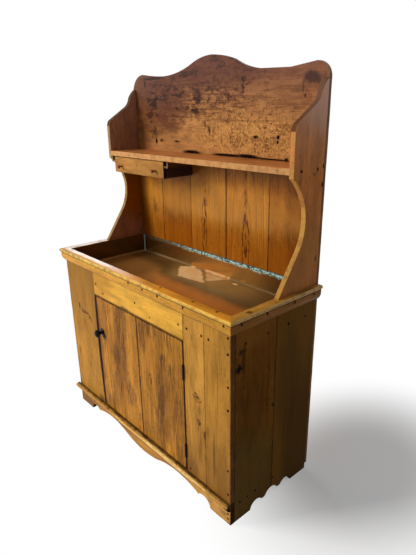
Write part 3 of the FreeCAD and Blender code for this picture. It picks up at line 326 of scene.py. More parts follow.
class Wood:
    """What one board's finish needs beyond its tone."""

    def __init__(self, tone, grain="Z", pith=(0, 0.06), tilt=0.04, spacing=9, wander=20,
                 strength=0.5, fibre=0.34, patches=0.4, dirt=4, shade_and_dirt_share=0.6, knots=(), stains=(),
                 wax=0.36, specular=0.03, weather=0.0, dusk=None, sheen=None, level=(1, 1, 1), coat_and_painted_glare=None,
                 flames=()):
        self.tone = tone
        self.grain = grain
        self.pith = pith
        self.tilt = tilt
        self.spacing = spacing
        self.wander = wander
        self.strength = strength
        self.fibre = fibre
        self.patches = patches
        self.dirt = dirt
        self.shade_and_dirt_share = shade_and_dirt_share
        self.knots = knots
        self.stains = stains
        self.wax = wax
        self.specular = specular
        self.weather = weather
        self.dusk = dusk
        self.sheen = sheen
        self.level = level
        self.coat_and_painted_glare = coat_and_painted_glare
        self.flames = flames


def leveled(colour, level):
    """A colour with each of its shares raised or lowered."""
    return (*(min(1.0, share * part) for share, part in zip(colour, level)), 1.0)


def wood_material(name, wood, low, high, thin):
    """The node tree of one board. low and high are its corners, thin its thin direction."""
    material = bpy.data.materials.new(name)
    material.use_nodes = True
    t = Tree(material.node_tree)
    shader = material.node_tree.nodes["Principled BSDF"]
    here = t.add("TexCoord").outputs["Object"]
    turned = t.add("Mapping", here, (0, 0, 0), GRAIN_TURN[wood.grain]).outputs[0]
    figure = t.place("timber figure", Vector=turned, Pith=(wood.pith[0], wood.pith[1], 0),
                     Tilt=wood.tilt, Wander=wood.wander * MM)
    radius = figure.outputs["Radius"]
    marks = []
    for centre, size in wood.knots:
        knot = t.place("timber knot", Vector=here, Centre=centre, Size=size, Radius=radius)
        radius = knot.outputs["Radius"]
        marks.append(knot)
    pale, deep, patch, worn = (leveled(linear(*steps), wood.level) for steps in TONES[wood.tone])
    tone = t.place("timber tone", Vector=turned, Radius=radius, Spacing=wood.spacing * MM, Pale=pale,
                   Deep=deep, Patch=patch, Grain=wood.strength, Fibre=wood.fibre, Patches=wood.patches,
                   Weather=wood.weather)
    colour = tone.outputs["Color"]
    for knot in marks:
        colour = t.blend(t.maths("MULTIPLY", knot.outputs["Heart"], 0.9), colour, linear(66, 36, 18))
        colour = t.blend(t.maths("MULTIPLY", knot.outputs["Rim"], 0.9), colour, linear(44, 24, 12))
    # dusk darkens the colour from one height to another: painted shade on the left stile, on the rear side boards
    # below the capping and on the back boards under the shelf, painted sheen on the crest, and on the right stiles a
    # darkening towards the foot.
    if wood.dusk:
        top, foot, share, tint = wood.dusk
        level = t.add("SeparateXYZ", here).outputs[2]
        colour = t.blend(t.between(level, top, foot, 0.0, share), colour, tint)
    for centre, size, share, grit, ragged, stretch, stain, thread in wood.stains:
        mask = t.place("ragged patch", Vector=here, Centre=centre, Size=size, Stretch=stretch,
                       Grit=grit, Ragged=ragged, Thread=thread).outputs[0]
        colour = t.blend(t.maths("MULTIPLY", mask, share), colour, stain)
    for centre, size in wood.flames:
        mask = t.place("flame figure", Vector=here, Centre=centre, Size=size).outputs[0]
        colour = t.blend(t.maths("MULTIPLY", mask, 0.9), colour, linear(78, 26, 6))
    wide_low = [corner - (1 if axis == thin else 0) for axis, corner in enumerate(low)]
    wide_high = [corner + (1 if axis == thin else 0) for axis, corner in enumerate(high)]
    # Painted shade and grime: the colour darkens along the board's edges and joints.
    dirt = t.place("joint dirt", Vector=here, Low=wide_low, High=wide_high, Reach=wood.dirt * MM)
    colour = t.blend(t.maths("MULTIPLY", dirt.outputs[0], wood.shade_and_dirt_share), colour, linear(48, 27, 12))
    # Edge faces marked dark are darkened as grime and as painted shade inside the joints.
    seams = t.add("Attribute", attribute_name="seam", attribute_type="GEOMETRY").outputs["Fac"]
    colour = t.blend(t.maths("MULTIPLY", seams, 0.9), colour, linear(34, 18, 10))
    # Pale rubbed edges are wear; on the capping's nose they also stand as a painted highlight.
    edges = t.add("Attribute", attribute_name="worn", attribute_type="GEOMETRY").outputs["Fac"]
    rubbed = t.maths("MULTIPLY", edges, t.between(t.speckle(here, 40.0, 3.0, 0.6), 0.36, 0.58, 0.3, 1.0))
    colour = t.blend(t.maths("MULTIPLY", rubbed, 0.85), colour, worn)
    t.feed(shader.inputs["Base Color"], colour)
    streak = tone.outputs["Streak"]
    gloss = t.maths("ADD", wood.wax, t.maths("MULTIPLY", t.maths("SUBTRACT", streak, 0.5), 0.35))
    smudge = t.maths("MULTIPLY", t.maths("SUBTRACT", t.speckle(here, 9.0, 3.0, 0.6), 0.5), 0.3)
    rough = t.maths("MAXIMUM", t.maths("ADD", gloss, smudge, clamp=True), seams)
    shader.inputs["Specular IOR Level"].default_value = wood.specular
    clear_of_shade_and_grime = t.maths("SUBTRACT", 1.0, seams)
    if wood.sheen:
        foot, top, most = wood.sheen
        shader.inputs["Coat Roughness"].default_value = 0.32
        level = t.add("SeparateXYZ", here).outputs[2]
        t.feed(shader.inputs["Coat Weight"], t.maths("MULTIPLY", t.between(level, foot, top, 0.0, most), clear_of_shade_and_grime))
    # Painted glare: a band of the capping gets a real coat and is also painted bluish white, as glare.
    if wood.coat_and_painted_glare:
        full, none, inner = wood.coat_and_painted_glare
        shader.inputs["Coat Roughness"].default_value = 0.14
        shader.inputs["Coat IOR"].default_value = 1.8
        split = t.add("SeparateXYZ", here).outputs
        drift = t.maths("MULTIPLY", t.maths("SUBTRACT", t.speckle(here, 24.0, 4.0, 0.6), 0.5), 0.12)
        glare_band = t.maths("MULTIPLY", t.between(t.maths("ADD", split[0], drift), none, full),
                           t.between(t.maths("ADD", split[1], t.maths("MULTIPLY", drift, 0.14)),
                                     inner - 0.004, inner + 0.004))
        scuffed = t.between(t.speckle(here, 36.0, 4.0, 0.6), 0.42, 0.62, 0.01, 0.17)
        t.feed(shader.inputs["Coat Weight"], t.maths("MULTIPLY", glare_band, scuffed))
        colour_with_painted_glare = t.blend(t.maths("MULTIPLY", glare_band, 0.34), colour, linear(222, 232, 250))
        t.feed(shader.inputs["Base Color"], colour_with_painted_glare)
    t.feed(shader.inputs["Roughness"], rough)
    height = t.maths("ADD", t.maths("MULTIPLY", streak, 0.5), t.maths("MULTIPLY", tone.outputs["Ring"], 0.4))
    dents = t.between(t.speckle(here, 70.0, 3.0, 0.55), 0.25, 0.42)
    bump = t.add("Bump", named={"Height": t.maths("ADD", height, t.maths("MULTIPLY", dents, 0.7)),
                                "Distance": 0.0006, "Strength": 0.55})
    t.feed(shader.inputs["Normal"], bump.outputs[0])
    return material


# --- mesh helpers ------------------------------------------------------------------------


def only(piece):
    """Select one piece and nothing else."""
    bpy.ops.object.select_all(action="DESELECT")
    piece.hide_set(False)
    piece.select_set(True)
    bpy.context.view_layer.objects.active = piece


def apply_modifier(piece, kind, **settings):
    """Add a modifier and apply it at once."""
    only(piece)
    modifier = piece.modifiers.new(kind.lower(), kind)
    for name, setting in settings.items():
        setattr(modifier, name, setting)
    bpy.ops.object.modifier_apply(modifier=modifier.name)


def copy_of(node, name):
    """A welded copy of a frame piece's mesh, with its flat faces made whole."""
    piece = bpy.data.objects.new(name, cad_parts[node].data.copy())
    bpy.context.scene.collection.objects.link(piece)
    piece.data.materials.clear()
    only(piece)
    bpy.ops.object.mode_set(mode="EDIT")
    bpy.ops.mesh.select_all(action="SELECT")
    bpy.ops.mesh.remove_doubles(threshold=0.00001)
    bpy.ops.mesh.customdata_custom_splitnormals_clear()
    bpy.ops.mesh.dissolve_limited(angle_limit=math.radians(0.5))
    bpy.ops.object.mode_set(mode="OBJECT")
    return piece


def cut_across(piece, axis, step):
    """Cross cuts at even steps, so that a surface can be worn unevenly."""
    places = [vertex.co[axis] for vertex in piece.data.vertices]
    low, high = min(places), max(places)
    count = int((high - low) / step)
    only(piece)
    bpy.ops.object.mode_set(mode="EDIT")
    normal = [0, 0, 0]
    normal[axis] = 1
    for number in range(1, count + 1):
        place = [0, 0, 0]
        place[axis] = low + (high - low) * number / (count + 1)
        bpy.ops.mesh.select_all(action="SELECT")
        bpy.ops.mesh.bisect(plane_co=place, plane_no=normal)
    bpy.ops.object.mode_set(mode="OBJECT")


def texture_of(name, size, depth=2):
    """A cloud texture for uneven wear."""
    made = bpy.data.textures.get(name) or bpy.data.textures.new(name, "CLOUDS")
    made.noise_scale = size
    made.noise_depth = depth
    return made


def wear_down(piece, amount=0.9, size=0.05):
    """Shift a surface slightly in all directions, as hand planes and years leave it."""
    apply_modifier(piece, "DISPLACE", texture=texture_of("wear %g" % size, size),
                   texture_coords="LOCAL", direction="RGB_TO_XYZ", mid_level=0.5, strength=amount * MM)


def mark_side(piece):
    """Wear, grime and painted shade on the edge of a rear side board: dark below the capping, rubbed pale
    up the waist, darker under the bulge below the shelf as painted shade, and brown round the scroll."""
    mesh = piece.data
    worn = mesh.attributes.new("worn", "FLOAT", "CORNER")
    seam = mesh.attributes.new("seam", "FLOAT", "CORNER")
    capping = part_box("rim_right")[1].z
    for face in mesh.polygons:
        normal, height = face.normal, face.center.z
        pale, dark = 0.0, 0.0
        if abs(normal.x) < 0.97:
            if height < capping or normal.y > 0.3:
                dark = 0.9
            elif height > HUTCH_SHOULDER:
                pale, dark = (0.9, 0.0) if abs(normal.x) > 0.15 else (0.0, 0.8)
            elif normal.z < -0.3:
                pale, dark = 0.5, 0.15
            elif normal.y < -0.1:
                pale = 0.4 if height > SHELF_TOP else 0.8
        for loop in face.loop_indices:
            worn.data[loop].value = pale
            seam.data[loop].value = dark


def mark_worn(piece, thin, rubbed, edge_share):
    """Give faces their share of wear, of grime and of painted light. rubbed lists the ways in which a board's
    edges are open to hands, such as -Y: those and the small slopes beside them are worn pale, which on the
    capping's nose also stands as a painted highlight, and all other edges are dark with grime and with
    painted shade inside the joints. The two broad faces have neither."""
    mesh = piece.data
    worn = mesh.attributes.new("worn", "FLOAT", "CORNER")
    seam = mesh.attributes.new("seam", "FLOAT", "CORNER")
    for face in mesh.polygons:
        tilt = [abs(part) for part in face.normal]
        pale, dark = 0.0, 0.0
        if tilt[thin] < 0.97:
            others = [axis for axis in range(3) if axis != thin]
            axis = max(others, key=lambda other: tilt[other])
            way = ("-" if face.normal[axis] < 0 else "+") + "XYZ"[axis]
            if way in rubbed and tilt[thin] > 0.15:
                pale = 0.8
            elif way in rubbed:
                pale = edge_share
            elif tilt[thin] < 0.15:
                dark = 1.0
        for loop in face.loop_indices:
            worn.data[loop].value = pale
            seam.data[loop].value = dark


def finish_piece(piece, body, slot, *nodes):
    """Hand a finished piece over to the frame."""
    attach(piece, body)
    if nodes:
        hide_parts(*nodes)


def smooth(piece, angle=35):
    only(piece)
    bpy.ops.object.shade_smooth_by_angle(angle=math.radians(angle))


def worn_board(node, body, slot, wood, thin, rubbed=(), edge_share=0.35, step=0.04, amount=0.9):
    """A board of the frame with worn faces and its own figure."""
    low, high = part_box(node)
    piece = copy_of(node, "worn_" + node)
    for axis in range(3):
        if axis != thin and step:
            cut_across(piece, axis, step)
    if node.startswith("side_rear"):
        mark_side(piece)
    else:
        mark_worn(piece, thin, rubbed, edge_share)
    if amount:
        wear_down(piece, amount)
    piece.data.materials.append(wood_material("wood " + node, wood, low, high, thin))
    smooth(piece)
    finish_piece(piece, body, slot, node)
    return piece


def lap_behind(piece, node, neighbour):
    """Run the rear corner of a board's right-hand edge on behind its neighbour, so that no light
    comes through the joint between them."""
    low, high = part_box(node)
    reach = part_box(neighbour)[0].x - high.x + 0.4 * MM
    for vertex in piece.data.vertices:
        if vertex.co.x > high.x - 2 * MM and vertex.co.y > 0.5 * (low.y + high.y):
            vertex.co.x += reach


def plain_node(node, material):
    """A frame piece that keeps its mesh and takes a material."""
    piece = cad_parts[node]
    piece.data.materials.clear()
    piece.data.materials.append(material)


def front(x, z):
    """A place on the front plane, in millimetres across and up."""
    return (x * MM, FRONT_Y, z * MM)


def flank(y, z, x=560):
    """A place on a side, in millimetres from the front plane and up."""
    return (x * MM, FRONT_Y + y * MM, z * MM)


def rear(x, z):
    """A place on the face of the back boards, in millimetres across and up."""
    return (x * MM, BACK_Y, z * MM)


def knot(place, across, up, thin=1):
    """A knot at a place, with its half sizes in millimetres."""
    size = [across * MM, across * MM, up * MM]
    size[thin] = 0.06
    return (place, size)


def stain(place, across, up, share=0.6, grit=30, ragged=1.2, along="Z", thin=1, colour=STAIN_COLOUR,
          thread=0.0):
    """A stain at a place, with its half sizes in millimetres, ragged along the grain."""
    size = [across * MM, across * MM, up * MM]
    size[thin] = 0.08
    stretch = {"X": (0.07, 1, 1), "Y": (1, 0.07, 1), "Z": (1, 1, 0.07), "all": (1, 1, 1),
               "wave": (0.55, 1, 1)}[along]
    return (place, size, share, grit, ragged, stretch, colour, thread)


# --- settings ----------------------------------------------------------------------------


class DrySinkWear(bpy.types.PropertyGroup):
    """How worn the boards are."""

    surface_wear: bpy.props.FloatProperty(
        name="Surface wear", description="How far worn faces wander from true, in millimetres",
        default=0.9, min=0.0, max=3.0)
    cut_step: bpy.props.FloatProperty(
        name="Wear step", description="Spacing of the cuts that let a board wear unevenly",
        default=0.04, min=0.01, max=0.2, unit="LENGTH")


class DrySinkColours(bpy.types.PropertyGroup):
    """The colours that are not wood."""

    copper: bpy.props.FloatVectorProperty(
        name="Copper", description="Copper of the well", subtype="COLOR", size=4,
        default=linear(240, 192, 116), min=0.0, max=1.0)
    tarnish: bpy.props.FloatVectorProperty(
        name="Tarnish", description="Dull brown film on the copper", subtype="COLOR", size=4,
        default=linear(112, 82, 46), min=0.0, max=1.0)
    verdigris: bpy.props.FloatVectorProperty(
        name="Verdigris", description="Green crust along the copper's edge", subtype="COLOR", size=4,
        default=linear(184, 226, 220), min=0.0, max=1.0)
    iron: bpy.props.FloatVectorProperty(
        name="Iron", description="Black iron of the latch", subtype="COLOR", size=4,
        default=linear(12, 12, 13), min=0.0, max=1.0)
    rust: bpy.props.FloatVectorProperty(
        name="Rust", description="Aged iron of hinges and nails", subtype="COLOR", size=4,
        default=linear(30, 18, 15), min=0.0, max=1.0)


class DrySinkStage(bpy.types.PropertyGroup):
    """The lamps and the background."""

    key_power: bpy.props.FloatProperty(
        name="Key lamp", description="Power of the broad lamp at the front left", default=175.0,
        min=0.0, subtype="POWER")
    window_power: bpy.props.FloatProperty(
        name="Window lamp", description="Power of the low lamp behind at the left", default=9.0,
        min=0.0, subtype="POWER")
    ambient: bpy.props.FloatProperty(
        name="Ambient", description="Strength of the light from all round", default=0.28, min=0.0)


def settings():
    return bpy.context.scene


# --- the boards --------------------------------------------------------------------------


class DRYSINK_OT_front(bpy.types.Operator):
    """Front boards, the top rail and the skirt"""

    bl_idname = "drysink.front"
    bl_label = "Front boards"

    def execute(self, context):
        wear = settings().dry_sink_wear
        crack = {"grit": 60, "ragged": 0.5}
        boards = {
            "left_stile": ("pine_left_stile", Wood(
                "golden", pith=(-0.40, FRONT_Y + 0.15), tilt=0.03, spacing=7, strength=0.3, patches=0.4,
                # Painted shade: dusk darkens the stile towards its top.
                fibre=0.46, dusk=(0.3, 0.78, 0.62, linear(124, 85, 28)),
                knots=[knot(front(-448, 552), 12, 13), knot(front(-367, 521), 8, 10)],
                stains=[stain(front(-472, 568), 9, 20, 0.9, 120, 1.6, "all"),
                        stain(front(-425, 548), 14, 10, 0.9, 120, 1.6, "all"),
                        stain(front(-400, 548), 16, 7, 0.85, 120, 1.6, "all"),
                        stain(front(-382, 534), 8, 13, 0.9, 120, 1.6, "all"), stain(front(-520, 310), 10, 26, 0.5),
                        stain(front(-430, 500), 9, 20, 0.4, 120, 1.8),
                        # Painted shade along the gap beside the door.
                        stain(front(-312, 380), 13, 330, 1.0, 40, 0.5, colour=linear(46, 9, 8)),
                        stain(front(-562, 460), 7, 4000, 0.6, 30, 1.2, colour=linear(96, 58, 22)),
                        stain(front(-553, 100), 16, 40, 0.8, 90, 1.6), stain(front(-505, 84), 20, 18, 0.7, 120),
                        stain(front(-412, 323), 6, 14, 0.4), stain(front(-340, 110), 30, 26, 0.6, 120, 2.0)])),
            "top_rail": ("pine_rail", Wood(
                "yellow", grain="X", pith=(0.78, FRONT_Y + 0.2), tilt=0.02, spacing=11, strength=0.25,
                fibre=0.24, patches=0.45,
                knots=[knot(front(-79, 678), 9, 8)],
                stains=[stain(front(-66, 676), 34, 8, 0.6, 120, 1.6, "X"),
                        stain(front(-250, 760), 110, 90, 0.6, 60, 1.6, "X", colour=linear(158, 106, 34)),
                        # Painted shade along the gap above the door.
                        stain(front(0, 672), 4000, 5, 0.8, 30, 1.6, "X", colour=linear(96, 58, 22))])),
            "right_stile_inner": ("pine_right_stile", Wood(
                "amber", pith=(0.39, FRONT_Y + 0.14), tilt=0.04, spacing=7, strength=0.3, patches=0.4,
                dusk=(0.55, 0.1, 0.5, linear(132, 84, 34)),
                knots=[knot(front(391, 468), 19, 16), knot(front(391, 367), 12, 10),
                       knot(front(424, 332), 10, 10)],
                stains=[stain(front(378, 482), 6, 6, 0.8, 120, 1.2, "all", colour=linear(74, 24, 10)),
                        stain(front(398, 421), 12, 34, 0.35, 150, 1.8),
                        stain(front(400, 360), 8, 12, 0.8, 150, 1.8, "all"),
                        stain(front(428, 318), 8, 22, 0.8, 150, 2.0, "all"),
                        stain(front(400, 250), 12, 90, 0.3, 150, 1.8),
                        stain(front(374, 470), 20, 2.5, 0.7, 120, 1.6, "X"),
                        stain(front(391, 340), 2.5, 26, 0.6, 120, 1.4),
                        stain(front(350, 130), 40, 60, 0.35, 120, 1.8)])),
            "right_stile_outer": ("pine_right_stile", Wood(
                "umber", pith=(0.52, FRONT_Y + 0.13), tilt=-0.03, spacing=8, strength=0.28, patches=0.4,
                dusk=(0.5, 0.1, 0.45, linear(124, 80, 32)),
                stains=[stain(front(475, 249), 6, 130, 0.45, 150, 1.6), stain(front(445, 350), 10, 30, 0.3, 150),
                        stain(front(506, 735), 1.6, 110, 0.7, **crack),
                        stain(front(497, 560), 1.6, 140, 0.6, **crack),
                        stain(front(488, 370), 1.5, 120, 0.5, **crack),
                        stain(front(480, 240), 1.5, 90, 0.4, **crack),
                        stain(front(562, 460), 7, 4000, 0.8, 30, 1.0, colour=linear(84, 48, 20)),
                        stain(front(520, 180), 40, 160, 0.25, 60, 1.6)])),
            "front_skirt": ("pine_skirt", Wood(
                "skirt", grain="X", pith=(0.06, FRONT_Y + 0.09), tilt=0.02, spacing=7, strength=0.5, patches=0.7,
                level=(0.98, 0.98, 0.88),
                dirt=9, shade_and_dirt_share=0.8,
                stains=[stain(front(452, 40), 20, 20, 0.9, 60, 1.4, "all"),
                        stain(front(520, 36), 26, 14, 0.9, 60, 1.4, "all"),
                        stain(front(480, 62), 130, 60, 0.6, 20, 1.4, "X", colour=linear(222, 170, 92)),
                        stain(front(-500, 34), 150, 40, 0.6, 60, 1.6, "all", colour=linear(84, 52, 22)),
                        stain(front(60, 30), 160, 26, 0.5, 60, 1.8, "X", thread=0.45)])),
        }
        for node, (slot, wood) in boards.items():
            open_edge = ("+X",) if node == "right_stile_outer" else ()
            worn_board(node, "cabinet", slot, wood, 1, open_edge, 0.0, wear.cut_step, wear.surface_wear)
        return {"FINISHED"}


class DRYSINK_OT_sides(bpy.types.Operator):
    """Side boards of the cupboard and the hutch"""

    bl_idname = "drysink.sides"
    bl_label = "Side boards"

    def execute(self, context):
        wear = settings().dry_sink_wear
        night = linear(14, 8, 4)
        for side, x in (("left", -560), ("right", 560)):
            front_wood = Wood(
                "side", grain="side", pith=(-FRONT_Y - 0.13, x * MM + 0.1), tilt=0.04, spacing=8,
                strength=0.45, fibre=0.45, patches=0.6, specular=0.012, wax=0.5, dirt=7, shade_and_dirt_share=0.9,
                level=(1.12, 1.12, 1.05), knots=[knot(flank(53, 700, x), 8, 12, 0), knot(flank(42, 641, x), 9, 13, 0)],
                stains=[stain(flank(66, 727, x), 12, 26, 0.95, 60, 2.4, "all", 0, night, 0.42),
                        stain(flank(52, 704, x), 20, 12, 0.95, 60, 2.4, "all", 0, night, 0.42),
                        stain(flank(42, 641, x), 18, 20, 0.95, 60, 2.4, "all", 0, night, 0.42),
                        stain(flank(60, 670, x), 9, 70, 0.6, 60, 2.4, "Z", 0, night, 0.42),
                        stain(flank(219, 423, x), 9, 9, 0.9, 90, 1.4, "all", 0, night),
                        stain(flank(110, 450, x), 90, 200, 0.4, 60, 1.5, "Z", 0, linear(58, 34, 8)),
                        stain(flank(110, 170, x), 160, 230, 0.6, 14, 1.2, "Z", 0, linear(74, 66, 31)),
                        stain(flank(110, 770, x), 160, 90, 0.6, 14, 1.2, "Z", 0, linear(129, 83, 33))])
            # Painted shade: dusk and the two broad dark stains low down darken the rear side boards below the capping,
            # and level gives lit and shaded copies of one tone, the right board paler and the left board bluer.
            rear_wood = Wood(
                "hutch", grain="side", pith=(-FRONT_Y - 0.34, x * MM + 0.12), tilt=0.03, spacing=8,
                strength=0.35, fibre=0.36, patches=0.5, specular=0.012, wax=0.4, sheen=(1.2, 1.56, 0.9),
                dusk=(0.86, 0.80, 0.94, linear(96, 64, 14)),
                level=(1.32, 1.36, 1.5) if side == "right" else (0.82, 1.06, 2.1),
                stains=[stain(flank(400, 160, x), 150, 420, 0.6, 14, 1.2, "Z", 0, linear(58, 39, 8)),
                        stain(flank(300, 480, x), 70, 300, 0.35, 60, 1.5, "Z", 0, linear(40, 24, 8)),
                        stain(flank(426, 940, x), 8, 14, 0.9, 60, 1.2, "all", 0, night),
                        stain(flank(440, 1202, x), 10, 12, 0.9, 60, 1.2, "all", 0, night),
                        stain(flank(440, 1264, x), 8, 12, 0.9, 60, 1.2, "all", 0, night),
                        stain(flank(390, 1240, x), 5, 6, 0.7, 60, 1.2, "all", 0)])
            if side == "left":
                # Painted shade: under the shelf the left board's inner face is darker and less blue than above.
                rear_wood.stains.append(
                    stain(flank(420, 1060, x), 160, 170, 1.0, 14, 0.8, "Z", 0, linear(140, 80, 2)))
            else:
                # Painted sheen: paler lilac-brown near the top of the right board's outer face.
                rear_wood.stains.append(
                    stain(flank(410, 1490, x), 120, 150, 0.65, 9, 1.4, "Z", 0, linear(200, 152, 126)))
                rear_wood.stains.append(
                    stain(flank(330, 960, x), 150, 190, 0.5, 10, 1.2, "Z", 0, linear(158, 112, 60)))
            worn_board("side_front_" + side, "cabinet", "pine_side", front_wood, 0, (), 0.2,
                       wear.cut_step, wear.surface_wear)
            worn_board("side_rear_" + side, "cabinet", "pine_side", rear_wood, 0, step=wear.cut_step,
                       amount=wear.surface_wear)
        return {"FINISHED"}


class DRYSINK_OT_back(bpy.types.Operator):
    """Back boards and the crest board"""

    bl_idname = "drysink.back"
    bl_label = "Back boards"

    def execute(self, context):
        wear = settings().dry_sink_wear
        # Painted shade under the shelf: the back boards darken towards its underside.
        painted_shade = (1.12, 1.24, 0.6, linear(96, 62, 30))
        tints = {1: (0.85, 0.85, 0.7), 2: (0.66, 0.6, 0.42), 3: (1.05, 1.2, 1.15), 4: (1.06, 1.14, 1.1),
                 5: (0.72, 0.68, 0.62)}
        figures = {
            1: Wood("back", pith=(-0.45, BACK_Y + 0.07), tilt=0.03, spacing=10, strength=1.0,
                    knots=[knot(rear(-415, 985), 12, 22)],
                    stains=[stain(rear(-430, 1000), 18, 40, 0.7, 60, 1.6)]),
            2: Wood("back", pith=(-0.20, BACK_Y + 0.20), tilt=-0.02, spacing=6, strength=0.8, patches=0.6),
            3: Wood("back", pith=(-0.035, BACK_Y + 0.03), tilt=0.03, spacing=8, strength=1.6, wander=12,
                    knots=[knot(rear(-28, 1112), 9, 16)],
                    flames=[knot(rear(-59, 940), 15, 140), knot(rear(-48, 1060), 7, 60)],
                    stains=[stain(rear(-24, 1120), 10, 24, 0.7, 90, 1.8, thread=0.4)]),
            4: Wood("back", pith=(0.19, BACK_Y + 0.09), tilt=-0.04, spacing=8, strength=1.6, wander=12,
                    flames=[knot(rear(200, 905), 19, 130), knot(rear(196, 1110), 7, 110)]),
            5: Wood("back", pith=(0.60, BACK_Y + 0.18), tilt=0.03, spacing=6, strength=0.9, patches=0.7,
                    stains=[stain(rear(450, 1020), 60, 300, 0.5, 14, 1.2, "all", colour=linear(96, 50, 14))]),
        }
        figures[4].stains = []
        # Painted shade: a dark strip down the joint between boards 3 and 4.
        for number in (3, 4):
            figures[number].stains.append(
                stain(rear(82.5, 1000), 5.4, 4000, 1.0, 20, 0.15, colour=linear(14, 7, 4)))
        for number, wood in figures.items():
            wood.dusk = painted_shade
            wood.level = tints[number]
            wood.stains = list(wood.stains) + [
                stain(rear(0, 1060), 700, 110, 0.4, 12, 1.0, "all", colour=linear(206, 142, 52)),
                stain(rear(0, 860), 700, 130, 0.5, 12, 1.0, "all", colour=linear(160, 84, 8))]
            wood.fibre = 0.55
            wood.specular = 0.08
            board = worn_board("back_board_%d" % number, "cabinet", "pine_back", wood, 1,
                               ("+X",) if number == 5 else (), 0.0, wear.cut_step, wear.surface_wear)
            if number < 5:
                lap_behind(board, "back_board_%d" % number, "back_board_%d" % (number + 1))
        scorch = linear(42, 20, 14)
        brown = linear(88, 49, 34)
        # Painted shade in the gap along the crest's foot and in its holes.
        shade_in_gaps_and_holes = linear(22, 10, 7)
        # Painted sheen: dusk turns the crest darker and lilac-brown towards its top.
        crest = Wood(
            "crest", grain="X", pith=(1.42, BACK_Y + 0.10), tilt=0.05, spacing=22, wander=140,
            strength=0.25, fibre=0.24, patches=0.45, specular=0.04, wax=0.36, sheen=(1.36, 1.64, 0.4),
            level=(0.9, 0.96, 1.2), dusk=(1.36, 1.62, 0.8, linear(108, 63, 52)),
            stains=[
                stain(rear(120, 1365), 360, 100, 0.5, 34, 1.8, "wave", colour=linear(206, 148, 84), thread=0.49),
                stain(rear(-478, 1400), 30, 90, 0.5, 30, 1.6, "all", colour=linear(196, 128, 60)),
                stain(rear(230, 1330), 300, 90, 0.5, 90, 1.4, "all", colour=linear(226, 164, 84), thread=0.5),
                stain(rear(200, 1360), 300, 110, 0.6, 46, 1.4, "all", colour=linear(112, 58, 24), thread=0.56),
                stain(rear(-250, 1560), 120, 60, 0.5, 20, 1.8, "wave", colour=linear(168, 98, 44), thread=0.5),
                stain(rear(-120, 1530), 420, 130, 0.6, 60, 1.6, "wave", colour=linear(64, 28, 16), thread=0.5),
                stain(rear(-200, 1500), 380, 150, 0.5, 90, 1.6, "X", colour=linear(60, 27, 16), thread=0.5),
                stain(rear(300, 1470), 260, 130, 0.4, 90, 1.6, "X", colour=linear(84, 42, 24), thread=0.52),
                stain(rear(-400, 1480), 260, 200, 0.75, 7, 1.4, "wave", colour=brown),
                stain(rear(-330, 1480), 300, 170, 0.5, 20, 2.0, "wave", colour=brown, thread=0.48),
                stain(rear(0, 1600), 420, 90, 0.65, 9, 1.4, "wave", colour=brown),
                stain(rear(0, 1560), 360, 110, 0.5, 26, 1.8, "wave", colour=scorch, thread=0.55),
                stain(rear(-230, 1490), 240, 90, 0.7, 30, 2.0, "wave", colour=scorch, thread=0.54),
                stain(rear(480, 1500), 120, 110, 0.35, 20, 1.8, "wave", colour=brown, thread=0.44),
                stain(rear(500, 1548), 40, 27, 0.85, 40, 1.8, "all", colour=linear(56, 31, 26)),
                stain(rear(456, 1519), 5, 26, 0.6, 70, 1.6, "all", colour=scorch),
                stain(rear(466, 1490), 6, 8, 0.8, 70, 1.3, "all", colour=scorch),
                stain(rear(-400, 1583), 90, 7, 0.95, 60, 1.3, "all", colour=scorch),
                stain(rear(-461, 1562), 9, 20, 0.9, 60, 1.3, "all", colour=scorch),
                stain(rear(-396, 1490), 44, 34, 0.75, 30, 2.4, "wave", colour=scorch, thread=0.48),
                stain(rear(-300, 1508), 100, 7, 0.8, 44, 1.8, "all", colour=scorch, thread=0.4),
                stain(rear(-98, 1468), 34, 50, 0.8, 30, 2.0, "wave", colour=scorch, thread=0.46),
                stain(rear(-140, 1590), 100, 14, 0.7, 44, 2.4, "all", colour=scorch, thread=0.44),
                stain(rear(-420, 1390), 50, 80, 0.6, 20, 2.4, "wave", colour=scorch, thread=0.46),
                stain(rear(176, 1552), 18, 14, 0.85, 90, 2.4, "all", colour=scorch, thread=0.4),
                stain(rear(176, 1520), 7, 26, 0.7, 90, 2.4, "all", colour=scorch, thread=0.4),
                stain(rear(260, 1380), 250, 120, 0.85, 120, 1.0, "all", colour=scorch, thread=0.58),
                stain(rear(0, 1400), 420, 130, 0.7, 80, 1.0, "all", colour=scorch, thread=0.64),
                stain(rear(-46, 1382), 8, 22, 0.85, 90, 2.4, "all", colour=scorch, thread=0.46),
                stain(rear(-17, 1368), 9, 20, 0.85, 90, 2.4, "all", colour=scorch, thread=0.46),
                stain(rear(243, 1347), 17, 7, 1.0, 90, 1.2, "all", colour=shade_in_gaps_and_holes),
                stain(rear(355, 1350), 10, 10, 1.0, 90, 1.0, "all", colour=shade_in_gaps_and_holes),
                stain(rear(353, 1332), 7, 7, 1.0, 90, 1.0, "all", colour=shade_in_gaps_and_holes),
                stain(rear(-390, 1309), 11, 15, 1.0, 90, 0.8, "all", colour=shade_in_gaps_and_holes),
                stain(rear(-350, 1314), 18, 9, 0.8, 90, 1.6, "all", colour=scorch),
                stain(rear(-235, 1313), 22, 6, 0.95, 90, 1.4, "all", colour=scorch),
                stain(rear(-132, 1270), 72, 13, 1.0, 18, 0.4, "all", colour=shade_in_gaps_and_holes),
                stain(rear(80, 1270), 100, 9, 1.0, 18, 0.4, "all", colour=shade_in_gaps_and_holes),
                stain(rear(200, 1272), 70, 12, 1.0, 18, 0.4, "all", colour=shade_in_gaps_and_holes),
                stain(rear(330, 1268), 120, 6, 1.0, 18, 0.4, "all", colour=shade_in_gaps_and_holes),
                stain(rear(396, 1272), 12, 9, 1.0, 18, 0.4, "all", colour=shade_in_gaps_and_holes),
            ])
